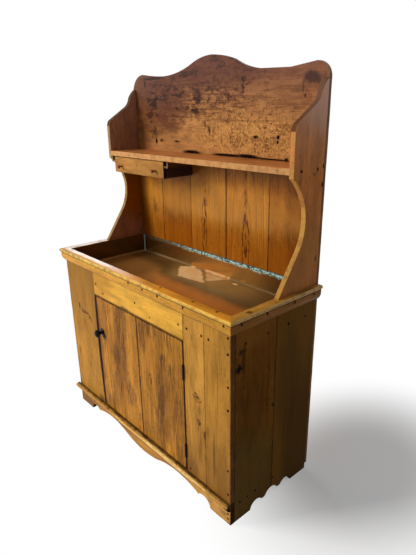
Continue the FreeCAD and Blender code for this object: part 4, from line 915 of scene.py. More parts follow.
        worn_board("crest_board", "cabinet", "pine_crest", crest, 1, ("+Z", "+X"), 0.3, wear.cut_step,
                   wear.surface_wear)
        return {"FINISHED"}


class DRYSINK_OT_inside(bpy.types.Operator):
    """Bed, floor, stop rails and the shelf"""

    bl_idname = "drysink.inside"
    bl_label = "Inside boards"

    def execute(self, context):
        wear = settings().dry_sink_wear
        thin_of = {"door_head_rail": 1, "door_sill_rail": 1, "sink_bed_front": 2, "sink_bed_rear": 2,
                   "floor_board_front": 2, "floor_board_rear": 2}
        for number, (node, thin) in enumerate(thin_of.items()):
            wood = Wood("bare", grain="X", pith=(0.1 * number, 0.07), tilt=0.03, spacing=8, wax=0.7)
            worn_board(node, "cabinet", "pine_inside", wood, thin, ("+Z", "-Y"), 0.2, 0, 0)
        shelf = Wood("shelf", grain="X", pith=(-1.31, 0.16), tilt=0.03, spacing=9, strength=0.4,
                     patches=0.6, dirt=3, shade_and_dirt_share=0.3, specular=0.3, wax=0.34,
                     stains=[stain((0.49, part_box("hutch_shelf")[0].y, 1.257), 5, 5, 0.95, 90, 0.5, "all"),
                             stain((0.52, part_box("hutch_shelf")[0].y, 1.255), 5, 5, 0.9, 90, 0.5, "all")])
        worn_board("hutch_shelf", "cabinet", "pine_shelf", shelf, 2, ("-Y",), 0.8, wear.cut_step,
                   wear.surface_wear)
        return {"FINISHED"}


class DRYSINK_OT_mouldings(bpy.types.Operator):
    """Capping of the well, moulding under it and the strip over the skirt"""

    bl_idname = "drysink.mouldings"
    bl_label = "Mouldings"

    def execute(self, context):
        wear = settings().dry_sink_wear
        along_x = ("rim_front", "cornice_front", "base_bead")
        along_y = ("rim_left", "rim_right", "cornice_left", "cornice_right")
        for node in along_x + along_y:
            grain = "X" if node in along_x else "Y"
            capping = node.startswith("rim")
            thin = 2 if capping else (1 if grain == "X" else 0)
            wood = Wood("moulding", grain=grain, pith=(0.8, FRONT_Y + 0.06), tilt=0.01, spacing=6,
                        strength=0.35, fibre=0.34, patches=0.6, dirt=3, wax=0.34,
                        specular=0.16 if capping else 0.03)
            if node == "cornice_front":
                wood.level = (1.12, 1.17, 1.0)
                # Painted shade: dark lines along the cornice's top under the capping and along its foot.
                wood.stains = [stain((0, FRONT_Y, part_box(node)[1].z), 4000, 5, 0.9, 30, 0.8, "X",
                                     colour=linear(62, 32, 10)),
                               stain((0, FRONT_Y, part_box(node)[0].z), 4000, 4, 0.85, 30, 0.8, "X",
                                     colour=linear(62, 32, 10)),
                               stain((-0.1, FRONT_Y, 0.80), 4000, 22, 0.6, 200, 1.0, "all",
                                     colour=linear(118, 70, 20), thread=0.56)]
            if node == "cornice_right":
                low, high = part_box(node)
                wood.tone = "shadow"
                wood.stains = [((high.x, 0.0, high.z), (0.03, 4.0, 0.006), 0.85, 40, 0.6, (1, 0.07, 1),
                                linear(40, 24, 12), 0.0)]
                wood.level = (0.78, 0.74, 0.6)
            if node == "rim_front":
                low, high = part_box(node)
                # Painted light: level makes the capping brighter and more orange than the moulding tone.
                wood.level = (1.5, 1.3, 0.7)
                wood.coat_and_painted_glare = (low.x + 0.36, low.x + 0.54, low.y + 0.52 * (high.y - low.y))
                # Painted shade: a dark line along the capping's lower front edge.
                wood.stains = [stain((0, low.y, low.z), 4000, 5, 0.95, 30, 0.5, "X", colour=linear(62, 32, 10)),
                               ((low.x + 0.05, low.y, 0.826), (0.6, 0.018, 0.03), 0.8, 30, 0.8, (0.07, 1, 1),
                                linear(150, 100, 44), 0.0)]
            if node == "rim_left":
                low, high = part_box(node)
                # Painted glare over the left capping too.
                wood.coat_and_painted_glare = (high.x - 0.012, high.x - 0.004, low.y + 0.01)
            if node == "rim_right":
                low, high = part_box(node)
                wood.stains = [
                    stain((high.x, 0.0, 0.826), 9, 5, 0.85, 50, 1.2, "Y", 1, linear(84, 58, 32)),
                    stain((0.564, -0.126, 0.834), 12, 26, 0.85, 60, 1.8, "Y", 2),
                    stain((high.x - 0.03, FRONT_Y + 0.36, 0.834), 60, 90, 0.6, 20, 1.2, "Y", 2,
                          linear(110, 78, 44)),
                    stain((high.x - 0.012, 0.0, 0.834), 9, 4000, 0.6, 30, 1.4, "Y", 2, linear(96, 66, 36))]
            if node == "base_bead":
                wood.tone = "skirt"
                wood.stains = [stain(front(552, 80), 10, 30, 0.95, 60, 0.6, "all", colour=linear(22, 12, 6)),
                               stain(front(20, 96), 30, 6, 0.9, 60, 1.4, "X"),
                               stain(front(0, 98), 4000, 5, 0.9, 40, 0.7, "X", colour=linear(36, 21, 9))]
                # Painted highlight in pale threads along the bead's top, and painted shade in dark threads below it.
                wood.stains += [
                    stain(front(0, 90), 4000, 7, 1.0, 26, 2.0, "X", colour=linear(255, 214, 140), thread=0.44),
                    stain(front(0, 76), 4000, 9, 0.8, 22, 2.6, "X", colour=linear(92, 56, 22), thread=0.5)]
                wood.level = (0.86, 0.82, 0.74)
            rubbed = ("-Y", "+X", "-X") if capping else ("+Z",)
            worn_board(node, "cabinet", "pine_moulding", wood, thin, rubbed, 0.25, wear.cut_step * 0.7,
                       wear.surface_wear)
        return {"FINISHED"}


class DRYSINK_OT_door(bpy.types.Operator):
    """Boards and battens of the door"""

    bl_idname = "drysink.door"
    bl_label = "Door"

    def smear(self, x, z, across, up, share):
        """Weathering in dark threads along the grain."""
        return stain(front(x, z), across, up, share * 0.9, 170, 1.8, colour=linear(80, 48, 22), thread=0.47)

    def execute(self, context):
        wear = settings().dry_sink_wear
        smoke = linear(52, 30, 14)
        left = Wood(
            "door", pith=(-0.17, FRONT_Y + 0.14), tilt=0.03, spacing=7, strength=0.45, fibre=0.6,
            patches=0.5, dirt=5, shade_and_dirt_share=0.8, weather=0.38,
            knots=[knot(front(-79, 657), 9, 10)],
            stains=[stain(front(-120, 480), 60, 260, 0.35, 24, 1.6, colour=linear(92, 58, 24)),
                    self.smear(-105, 590, 40, 150, 0.8), self.smear(-110, 450, 36, 120, 0.8),
                    self.smear(-158, 350, 34, 120, 0.8), self.smear(-66, 265, 40, 70, 0.75),
                    self.smear(-190, 250, 60, 120, 0.55), self.smear(-248, 130, 50, 50, 0.85),
                    self.smear(-290, 400, 14, 270, 0.6), self.smear(-226, 592, 7, 26, 0.9),
                    # Painted shade in the gaps at the door's left edge and between its two boards.
                    stain(front(-308, 380), 15, 4000, 1.0, 40, 0.5, colour=linear(46, 9, 8)),
                    stain(front(17, 380), 4.5, 4000, 0.95, 40, 0.5, colour=linear(52, 18, 11)),
                    # Painted shadow of the latch knob, below and right of it.
                    stain(front(-262, 482), 20, 17, 0.9, 40, 0.5, "all", colour=linear(20, 11, 7))])
        right = Wood(
            "dusk", pith=(0.20, FRONT_Y + 0.14), tilt=-0.03, spacing=7, strength=0.45, fibre=0.6,
            patches=0.5, dirt=5, shade_and_dirt_share=0.8, weather=0.4,
            knots=[knot(front(90, 434), 6, 8)],
            stains=[stain(front(180, 420), 70, 260, 0.3, 24, 1.6, colour=linear(92, 58, 24)),
                    stain(front(99, 406), 5, 22, 0.9, 130, 1.4, colour=smoke),
                    self.smear(50, 590, 26, 90, 0.8), self.smear(100, 640, 70, 40, 0.8),
                    self.smear(191, 534, 24, 34, 0.95), self.smear(222, 512, 18, 34, 0.95),
                    self.smear(163, 371, 36, 150, 0.8), self.smear(150, 200, 50, 120, 0.7),
                    self.smear(270, 330, 40, 260, 0.6), self.smear(200, 640, 60, 60, 0.6),
                    # Painted shade in the gaps between the boards and at the door's right edge.
                    stain(front(17, 380), 4.5, 4000, 0.95, 40, 0.5, colour=linear(52, 18, 11)),
                    stain(front(314, 380), 6, 4000, 1.0, 40, 0.5, colour=linear(44, 16, 10))])
        for node, wood in (("door_board_left", left), ("door_board_right", right)):
            worn_board(node, "door", "pine_door", wood, 1, (), 0.2, wear.cut_step, wear.surface_wear)
        for number, node in enumerate(("door_batten_top", "door_batten_bottom")):
            wood = Wood("bare", grain="X", pith=(0.2 + 0.3 * number, 0.05), wax=0.6)
            worn_board(node, "door", "pine_inside", wood, 1, ("+Z", "-Z", "+X", "-X"), 0.4, 0, 0)
        return {"FINISHED"}


class DRYSINK_OT_drawer(bpy.types.Operator):
    """The hung drawer and its runners"""

    bl_idname = "drysink.drawer"
    bl_label = "Drawer"

    def execute(self, context):
        every = ("-X", "+X", "-Y", "+Y", "-Z", "+Z")
        face = Wood("drawer", grain="X", pith=(1.2, 0.16), tilt=0.02, spacing=8, strength=0.4,
                    patches=0.5, dirt=4, fibre=0.4, stains=[stain((-0.33, 0.07, 1.212), 6, 5, 0.6)])
        worn_board("drawer_front", "drawer", "pine_drawer", face, 1, ("+Z", "-X"), 0.5, 0.03, 0.3)
        # Painted shade: the drawer sides and hangers are darkened, as the inside of the drawer is in shade.
        sides = Wood("bare", grain="Y", pith=(1.2, 0.1), spacing=8, wax=0.6, level=(0.5, 0.68, 1.6))
        across = Wood("bare", grain="X", pith=(1.2, 0.1), spacing=8, wax=0.6)
        for node, wood, thin in (
                ("drawer_side_left", sides, 0), ("drawer_side_right", sides, 0),
                ("drawer_hanger_left", sides, 0), ("drawer_hanger_right", sides, 0),
                ("drawer_back", across, 1), ("drawer_bottom", across, 2)):
            worn_board(node, "drawer", "pine_drawer", wood, thin, every, 0.3, 0, 0)
        runners = Wood("bare", grain="Y", pith=(1.2, 0.1), spacing=8, wax=0.6)
        for node in ("drawer_runner_left", "drawer_runner_right"):
            worn_board(node, "cabinet", "pine_drawer", runners, 0, ("-Y",), 0.6, 0, 0)
        for side in ("left", "right"):
            self.knob(side)
        return {"FINISHED"}

    def knob(self, side):
        """A small turned knob with a button head, a waist and a foot."""
        node = "drawer_knob_" + side
        low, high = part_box(node)
        centre = (low + high) / 2
        radius = (high.x - low.x) / 2
        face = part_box("drawer_front")[0].y
        reach = face - low.y
        outline = [(0.0, 1.0), (0.45, 0.985), (0.78, 0.93), (0.97, 0.82), (1.0, 0.74), (0.95, 0.66),
                   (0.78, 0.58), (0.5, 0.52), (0.4, 0.44), (0.38, 0.3), (0.44, 0.16), (0.6, 0.06),
                   (0.66, 0.0), (0.38, -0.002), (0.38, -0.3), (0.0, -0.3)]
        piece = turned("turned_" + node, [(across * radius, out * reach) for across, out in outline],
                       (centre.x, face, centre.z))
        wood = Wood("hutch", grain="Y", pith=(0, 0), spacing=3, strength=0.5, fibre=0.3, dirt=2, wax=0.4,
                    specular=0.15, level=(0.6, 0.5, 0.5))
        piece.data.materials.append(wood_material("wood " + node, wood, low, high, 1))
        finish_piece(piece, "drawer", "drawer_knob_wood", node)


def turned(name, outline, place, segments=40):
    """A piece spun about an axis along Y. The outline is (radius, distance in front)."""
    mesh = bpy.data.meshes.new(name)
    mesh.from_pydata([(radius, -out, 0) for radius, out in outline],
                     [(number, number + 1) for number in range(len(outline) - 1)], [])
    piece = bpy.data.objects.new(name, mesh)
    bpy.context.scene.collection.objects.link(piece)
    only(piece)
    bpy.ops.object.mode_set(mode="EDIT")
    bpy.ops.mesh.select_all(action="SELECT")
    bpy.ops.mesh.spin(steps=segments, angle=math.radians(360), center=(0, 0, 0), axis=(0, 1, 0))
    bpy.ops.mesh.select_all(action="SELECT")
    bpy.ops.mesh.remove_doubles(threshold=0.00001)
    bpy.ops.mesh.normals_make_consistent(inside=False)
    bpy.ops.object.mode_set(mode="OBJECT")
    piece.data.transform(Matrix.Translation(place))
    smooth(piece, 50)
    return piece


# --- metal -------------------------------------------------------------------------------


# Painted pools of light on the floor of the well, as the corners of convex outlines, in metres.
PAINTED_LIGHT_POOL = ((-0.198, 0.193), (-0.094, 0.100), (0.035, 0.116), (0.054, 0.126), (-0.067, 0.218),
               (-0.146, 0.236))
PAINTED_SIDE_LIGHT_POOL = ((-0.055, 0.236), (0.051, 0.142), (0.072, 0.178), (0.121, 0.236))


def painted_pool_share(t, here, ragged, corners):
    """The share of a spot at a place, from how far the place lies outside each of its edges."""
    outside = None
    for number, (x, y) in enumerate(corners):
        next_x, next_y = corners[(number + 1) % len(corners)]
        size = math.hypot(next_x - x, next_y - y)
        across, along = (next_y - y) / size, (x - next_x) / size
        distance = t.add("VectorMath", here, (across, along, 0), operation="DOT_PRODUCT").outputs["Value"]
        distance = t.maths("SUBTRACT", distance, across * x + along * y)
        outside = distance if outside is None else t.maths("MAXIMUM", outside, distance)
    return t.between(t.maths("ADD", outside, ragged), 0.004, -0.003)


def copper_material():
    """Old copper sheet: a dull mirror, with tarnish, painted shade on its left wall, a film of painted reflection on
    its floor, pale solder in its corners, green crust along its back edge and a painted pool of light in the corner of
    its floor."""
    colours = settings().dry_sink_colours
    material = bpy.data.materials.new("copper sheet")
    material.use_nodes = True
    t = Tree(material.node_tree)
    shader = material.node_tree.nodes["Principled BSDF"]
    here = t.add("TexCoord").outputs["Object"]
    low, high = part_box("sink_liner")
    split = t.add("SeparateXYZ", here).outputs
    up = t.maths("SUBTRACT", split[2], low.z)
    reach = [t.maths("SUBTRACT", split[0], low.x), t.maths("SUBTRACT", high.x, split[0]),
             t.maths("SUBTRACT", split[1], low.y), t.maths("SUBTRACT", high.y, split[1])]
    tarnish = t.between(t.speckle(here, 4.0, 4.0, 0.6), 0.4, 0.62)
    walls = t.between(up, 0.004, 0.014)
    inward = t.maths("MINIMUM", t.maths("MINIMUM", reach[0], reach[1]), t.maths("MINIMUM", reach[2], reach[3]))
    folds = t.between(t.maths("MAXIMUM", inward, up), 0.012, 0.004)
    right_end = t.between(split[0], 0.1, 0.42)
    dull = t.maths("MAXIMUM", t.maths("MULTIPLY", tarnish, 0.3), t.maths("MULTIPLY", walls, 0.35))
    dull = t.maths("MAXIMUM", dull, t.maths("MULTIPLY", right_end, 0.85))
    colour = t.blend(dull, tuple(colours.copper), tuple(colours.tarnish))
    # Painted shade on the copper's left wall.
    painted_shade = t.maths("MULTIPLY", t.between(reach[0], 0.03, 0.008), t.maths("MULTIPLY", walls, 0.85))
    colour = t.blend(painted_shade, colour, linear(38, 24, 16))
    # Painted reflection: a film on the floor, dark towards the back and orange towards the front, stands in for what
    # the copper mirrors.
    drift = t.maths("MULTIPLY", t.maths("SUBTRACT", t.speckle(here, 9.0, 4.0, 0.6), 0.5), 0.08)
    left_end = t.between(t.maths("ADD", split[0], drift), -0.12, -0.26)
    set_back = t.maths("SUBTRACT", t.maths("ADD", split[1], drift), t.maths("MULTIPLY", left_end, 0.09))
    fore = t.between(set_back, 0.07, 0.0)
    painted_reflection = t.blend(fore, linear(78, 46, 8), t.blend(left_end, linear(250, 156, 56), linear(140, 74, 10)))
    reflection_film_and_folds = t.maths("MULTIPLY", t.maths("ADD", t.between(fore, 0.0, 1.0, 0.62, 0.5), t.maths("MULTIPLY", left_end, 0.24)), t.maths("SUBTRACT", 1.0, walls))
    colour = t.blend(reflection_film_and_folds, colour, painted_reflection)
    colour = t.blend(t.maths("MULTIPLY", folds, 0.5), colour, linear(172, 138, 92))

    # Painted pools of light on the floor of the well, in the colour of lit copper.
    ragged = t.maths("MULTIPLY", t.maths("SUBTRACT", t.speckle(here, 30.0, 4.0, 0.6), 0.5), 0.03)
    first = painted_pool_share(t, here, ragged, PAINTED_LIGHT_POOL)
    first = t.maths("MULTIPLY", first, t.between(up, 0.008, 0.004))
    second = t.maths("MULTIPLY", painted_pool_share(t, here, ragged, PAINTED_SIDE_LIGHT_POOL), t.between(up, 0.016, 0.008))
    spot = t.vector("DIVIDE", t.vector("SUBTRACT", here, (0.166, 0.207, low.z)), (0.016, 0.008, 0.02))
    third = t.between(t.maths("ADD", t.length(spot), t.maths("MULTIPLY", ragged, 12.0)), 1.1, 0.7)
    patch = t.maths("MAXIMUM", first, t.maths("MAXIMUM", t.maths("MULTIPLY", second, 0.8), third))
    # Painted shadow line across the pools of light.
    painted_shadow_line = t.add("VectorMath", here, (-0.044, 1.0, 0), operation="DOT_PRODUCT").outputs["Value"]
    painted_shadow_line = t.between(t.maths("ABSOLUTE", t.maths("SUBTRACT", painted_shadow_line, 0.219)), 0.0035, 0.0015)
    painted_shadow_line = t.maths("MULTIPLY", painted_shadow_line, t.between(t.maths("ABSOLUTE", t.maths("SUBTRACT", split[0], 0.013)), 0.09, 0.07))
    patch = t.maths("MULTIPLY", patch, t.maths("SUBTRACT", 1.0, painted_shadow_line))
    colour = t.blend(painted_shadow_line, colour, linear(60, 34, 20))
    painted_light_colour = t.blend(t.between(t.speckle(here, 22.0, 3.0, 0.6), 0.35, 0.65), linear(255, 216, 156),
                   linear(255, 195, 126))
    colour = t.blend(patch, colour, painted_light_colour)

    left = t.between(split[0], low.x + 0.35, low.x + 0.02)
    near = [t.between(way, 0.008, 0.003) for way in (reach[0], reach[3], up)]
    corner = t.maths("MULTIPLY", t.maths("MULTIPLY", near[0], near[1]), 0.95)
    lines = t.maths("MAXIMUM", t.maths("MULTIPLY", near[0], near[2]), t.maths("MULTIPLY", near[1], near[2]))
    solder = t.maths("MULTIPLY", lines, t.maths("ADD", 0.18, t.maths("MULTIPLY", left, 0.5)))
    colour = t.blend(solder, colour, linear(158, 150, 120))
    colour = t.blend(corner, colour, linear(200, 226, 214))
    rise = t.maths("ADD", t.maths("SUBTRACT", high.z, split[2]),
                   t.maths("MULTIPLY", t.maths("SUBTRACT", t.speckle(here, 34.0, 4.0, 0.65), 0.5), 0.03))
    crusted = t.maths("MULTIPLY", t.between(rise, 0.022, 0.012), t.between(split[1], high.y - 0.02, high.y - 0.008))
    crusted = t.maths("MULTIPLY", crusted, t.between(split[0], -0.35, 0.0, 0.15, 0.9))
    crusted = t.maths("MULTIPLY", crusted, t.between(t.speckle(here, 120.0, 3.0, 0.6), 0.36, 0.5))
    colour = t.blend(crusted, colour, tuple(colours.verdigris))
    t.feed(shader.inputs["Base Color"], colour)
    shader.inputs["Specular IOR Level"].default_value = 0.08
    crust_solder_and_light_pool = t.maths("MAXIMUM", t.maths("MAXIMUM", crusted, t.maths("MAXIMUM", solder, corner)), patch)
    reflection_film_and_folds = t.maths("MAXIMUM", t.maths("MAXIMUM", reflection_film_and_folds, t.maths("MULTIPLY", folds, 0.7)), painted_shadow_line)
    t.feed(shader.inputs["Metallic"],
           t.maths("SUBTRACT", 0.96, t.maths("MULTIPLY", t.maths("MAXIMUM", crust_solder_and_light_pool, reflection_film_and_folds), 0.9)))
    scuffs = t.speckle(t.vector("MULTIPLY", here, (0.3, 1.0, 1.0)), 60.0, 4.0, 0.65)
    rough = t.maths("ADD", 0.12, t.maths("MULTIPLY", dull, 0.22))
    rough = t.maths("ADD", rough, t.maths("MULTIPLY", scuffs, 0.06))
    covered = t.maths("MAXIMUM", t.maths("MULTIPLY", crust_solder_and_light_pool, 0.6), t.maths("MULTIPLY", folds, 0.55))
    t.feed(shader.inputs["Roughness"], t.maths("MAXIMUM", rough, covered))
    ripples = t.maths("ADD", t.speckle(here, 6.0, 2.0), t.maths("MULTIPLY", t.speckle(here, 45.0, 2.0), 0.02))
    bump = t.add("Bump", named={"Height": ripples, "Distance": 0.002, "Strength": 0.12})
    t.feed(shader.inputs["Normal"], bump.outputs[0])
    return material


def crust_material():
    """Chalky green crust with brown grime in its hollows, darker along its top as painted shadow."""
    colours = settings().dry_sink_colours
    material = bpy.data.materials.new("verdigris")
    material.use_nodes = True
    t = Tree(material.node_tree)
    shader = material.node_tree.nodes["Principled BSDF"]
    here = t.add("TexCoord").outputs["Object"]
    split = t.add("SeparateXYZ", here).outputs
    lumps = t.between(t.speckle(here, 90.0, 3.0, 0.6), 0.4, 0.56)
    strong = t.between(split[0], -0.5, -0.05, 0.15, 1.0)
    colour = t.blend(t.maths("MULTIPLY", lumps, strong), linear(44, 44, 30), tuple(colours.verdigris))
    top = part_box("sink_liner")[1].z
    # Painted shadow: the crust darkens along its top, under the capping.
    painted_shadow_band = t.between(t.maths("ADD", split[2], t.maths("MULTIPLY", t.speckle(here, 70.0, 3.0), 0.01)),
                       top + 0.001, top + 0.005)
    colour = t.blend(t.maths("MULTIPLY", painted_shadow_band, 0.8), colour, linear(34, 36, 26))
    t.feed(shader.inputs["Base Color"], colour)
    shader.inputs["Roughness"].default_value = 0.75
    bump = t.add("Bump", named={"Height": t.speckle(here, 320.0, 3.0), "Distance": 0.001, "Strength": 0.6})
    t.feed(shader.inputs["Normal"], bump.outputs[0])
    return material


def iron_material(name, colour, rust, rough, metallic, specular=0.5):
    """Iron with a film of rust or wax over it."""
    material = bpy.data.materials.new(name)
    material.use_nodes = True
    t = Tree(material.node_tree)
    shader = material.node_tree.nodes["Principled BSDF"]
    here = t.add("TexCoord").outputs["Object"]
    patch = t.between(t.speckle(here, 120.0, 3.0, 0.6), 0.42, 0.62)
    t.feed(shader.inputs["Base Color"], t.blend(patch, colour, rust))
    shader.inputs["Metallic"].default_value = metallic
    shader.inputs["Specular IOR Level"].default_value = specular
    t.feed(shader.inputs["Roughness"], t.maths("ADD", rough, t.maths("MULTIPLY", patch, 0.2)))
    bump = t.add("Bump", named={"Height": t.speckle(here, 300.0, 3.0), "Distance": 0.0004, "Strength": 0.3})
    t.feed(shader.inputs["Normal"], bump.outputs[0])
    return material


class DRYSINK_OT_well(bpy.types.Operator):
    """Copper tray of the well, with its crusted edge"""

    bl_idname = "drysink.well"
    bl_label = "Copper well"

    def execute(self, context):
        tray = copy_of("sink_liner", "copper_tray")
        for axis in (0, 1):
            cut_across(tray, axis, 0.03)
        wear_down(tray, 1.2, 0.12)
        tray.data.materials.append(copper_material())
        smooth(tray)
        finish_piece(tray, "cabinet", "copper", "sink_liner")
        self.crust()
        return {"FINISHED"}

    def crust(self):
        """A lumpy band of crust hanging over the top of the tray's back wall."""
        low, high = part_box("sink_liner")
        chance = random.Random(7)
        around = 10
        count = 420
        corners = []
        faces = []
        for number in range(count + 1):
            share = number / count
            x = low.x + 0.004 + (high.x - low.x - 0.008) * share
            lump = noise.noise(Vector((x * 40, 0.3, 0.7))) * 0.6 + noise.noise(Vector((x * 130, 2.3, 1.7))) * 0.5
            strength = 0.25 + 0.75 * min(1.0, max(0.0, (share - 0.16) * 4.0))
            tall = (0.0044 + 0.0050 * max(0.0, lump + 0.45)) * strength
            thick = (0.0012 + 0.0016 * max(0.0, lump + 0.4)) * (0.5 + 0.5 * strength)
            for turn in range(around):
                angle = math.tau * turn / around
                push = 1 + chance.uniform(-0.3, 0.3)
                corners.append((x, high.y - 0.0012 - thick + math.cos(angle) * thick * push,
                                high.z + 0.001 - tall + math.sin(angle) * tall * push))
        for number in range(count):
            for turn in range(around):
                following = (turn + 1) % around
                first = number * around
                faces.append((first + turn, first + following, first + around + following,
                              first + around + turn))
        faces.append(tuple(reversed(range(around))))
        faces.append(tuple(count * around + turn for turn in range(around)))
        mesh = bpy.data.meshes.new("verdigris_crust")
        mesh.from_pydata(corners, [], faces)
        piece = bpy.data.objects.new("verdigris_crust", mesh)
        bpy.context.scene.collection.objects.link(piece)
        only(piece)
        bpy.ops.object.mode_set(mode="EDIT")
        bpy.ops.mesh.select_all(action="SELECT")
        bpy.ops.mesh.normals_make_consistent(inside=False)
        bpy.ops.object.mode_set(mode="OBJECT")
        piece.data.materials.append(crust_material())
        smooth(piece, 60)
        finish_piece(piece, "cabinet", "copper")


class DRYSINK_OT_ironwork(bpy.types.Operator):
    """Latch, hinges and nails"""

    bl_idname = "drysink.ironwork"
    bl_label = "Ironwork"

    def execute(self, context):
        colours = settings().dry_sink_colours
        black = iron_material("black iron", tuple(colours.iron), linear(8, 8, 9), 0.2, 0.0, 0.1)
        aged = iron_material("aged iron", tuple(colours.rust), linear(20, 12, 10), 0.5, 0.1, 0.15)
        nails = iron_material("nail iron", linear(26, 10, 6), linear(12, 6, 4), 0.8, 0.0, 0.02)
        for node in ("hinge_upper_frame_leaf", "hinge_lower_frame_leaf", "hinge_upper_door_leaf",
                     "hinge_lower_door_leaf", "hinge_pins"):
            plain_node(node, aged)
        self.heads(nails)
        plain_node("door_nails", nails)
        plain_node("latch_tongue", aged)
        self.knob(black)
        self.rose(black)
        return {"FINISHED"}

    def heads(self, material):
        """Cut nails, each with its own spread and squash, as hammered heads have."""
        piece = copy_of("cabinet_nails", "hammered_nails")
        mesh = piece.data
        chance = random.Random(11)
        waiting = {vertex.index: set() for vertex in mesh.vertices}
        for edge in mesh.edges:
            first, second = edge.vertices
            waiting[first].add(second)
            waiting[second].add(first)
        while waiting:
            start = next(iter(waiting))
            group, found = {start}, [start]
            while found:
                following = waiting.pop(found.pop(), set()) - group
                group |= following
                found += following
            places = [mesh.vertices[index].co.copy() for index in group]
            low = Vector([min(place[axis] for place in places) for axis in range(3)])
            high = Vector([max(place[axis] for place in places) for axis in range(3)])
            centre = (low + high) / 2
            spans = high - low
            shaft = max(range(3), key=lambda axis: spans[axis])
            spread = [chance.uniform(1.3, 1.8) for _ in range(3)]
            spread[shaft] = 1.0
            for index in group:
                place = mesh.vertices[index].co
                for axis in range(3):
                    place[axis] = centre[axis] + (place[axis] - centre[axis]) * spread[axis]
                waiting.pop(index, None)
        piece.data.materials.append(material)
        smooth(piece)
        finish_piece(piece, "cabinet", "nail_iron", "cabinet_nails")

    def knob(self, material):
        low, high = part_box("latch_knob")
        centre = (low + high) / 2
        radius = (high.x - low.x) / 2
        reach = FRONT_Y - low.y
        back = FRONT_Y - high.y
        outline = [(0.0, reach), (0.3 * radius, reach - 0.0005), (0.6 * radius, reach - 0.0022),
                   (0.84 * radius, reach - 0.0052), (0.97 * radius, reach - 0.0092),
                   (radius, reach - 0.0125), (0.95 * radius, reach - 0.0155),
                   (0.78 * radius, reach - 0.018), (0.55 * radius, reach - 0.0195),
                   (0.42 * radius, reach - 0.022), (0.38 * radius, reach - 0.026),
                   (0.44 * radius, 0.006), (0.47 * radius, 0.0046), (0.0049, 0.0045),
                   (0.0049, back), (0.0, back)]
        piece = turned("turned_latch_knob", outline, (centre.x, FRONT_Y, centre.z), 48)
        piece.data.materials.append(material)
        finish_piece(piece, "latch", "black_iron", "latch_knob")

    def rose(self, material):
        low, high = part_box("latch_rose")
        centre = (low + high) / 2
        radius = (high.x - low.x) / 2
        thick = high.y - low.y
        outline = [(0.0052, 0.0), (radius, 0.0), (radius, 0.35 * thick), (0.97 * radius, 0.55 * thick),
                   (0.88 * radius, 0.72 * thick), (0.7 * radius, 0.78 * thick), (0.62 * radius, thick),
                   (0.4 * radius, thick), (0.0052, thick), (0.0052, 0.0)]
        piece = turned("turned_latch_rose", outline, (centre.x, FRONT_Y, centre.z), 48)
        piece.data.materials.append(material)
        finish_piece(piece, "door", "black_iron", "latch_rose")


# --- stage -------------------------------------------------------------------------------


def camera_at(place, heading, down, roll, lens):
    """A camera looking along a heading from the front, tipped down and rolled, in degrees."""
    turn, tip, lean = (math.radians(part) for part in (heading, down, roll))
    forward = Vector((-math.sin(turn) * math.cos(tip), math.cos(turn) * math.cos(tip), -math.sin(tip)))
    level = Vector((math.cos(turn), math.sin(turn), 0))
    upright = level.cross(forward)
    right = math.cos(lean) * level + math.sin(lean) * upright
    up = -math.sin(lean) * level + math.cos(lean) * upright
    data = bpy.data.cameras.new("camera")
    data.lens = lens
    data.sensor_width = 36
    data.sensor_fit = "AUTO"
    camera = bpy.data.objects.new("camera", data)
    axes = Matrix((right, up, -forward)).transposed().to_4x4()
    camera.matrix_world = Matrix.Translation(place) @ axes
    bpy.context.scene.collection.objects.link(camera)
    bpy.context.scene.camera = camera


def lamp(name, place, target, size, power, colour=(1, 1, 1)):
    data = bpy.data.lights.new(name, "AREA")
    data.shape = "RECTANGLE"
    data.size, data.size_y = size
    data.energy = power
    data.color = colour
    made = bpy.data.objects.new(name, data)
    made.location = place
    made.rotation_euler = (Vector(target) - Vector(place)).to_track_quat("-Z", "Y").to_euler()
    bpy.context.scene.collection.objects.link(made)
    return made


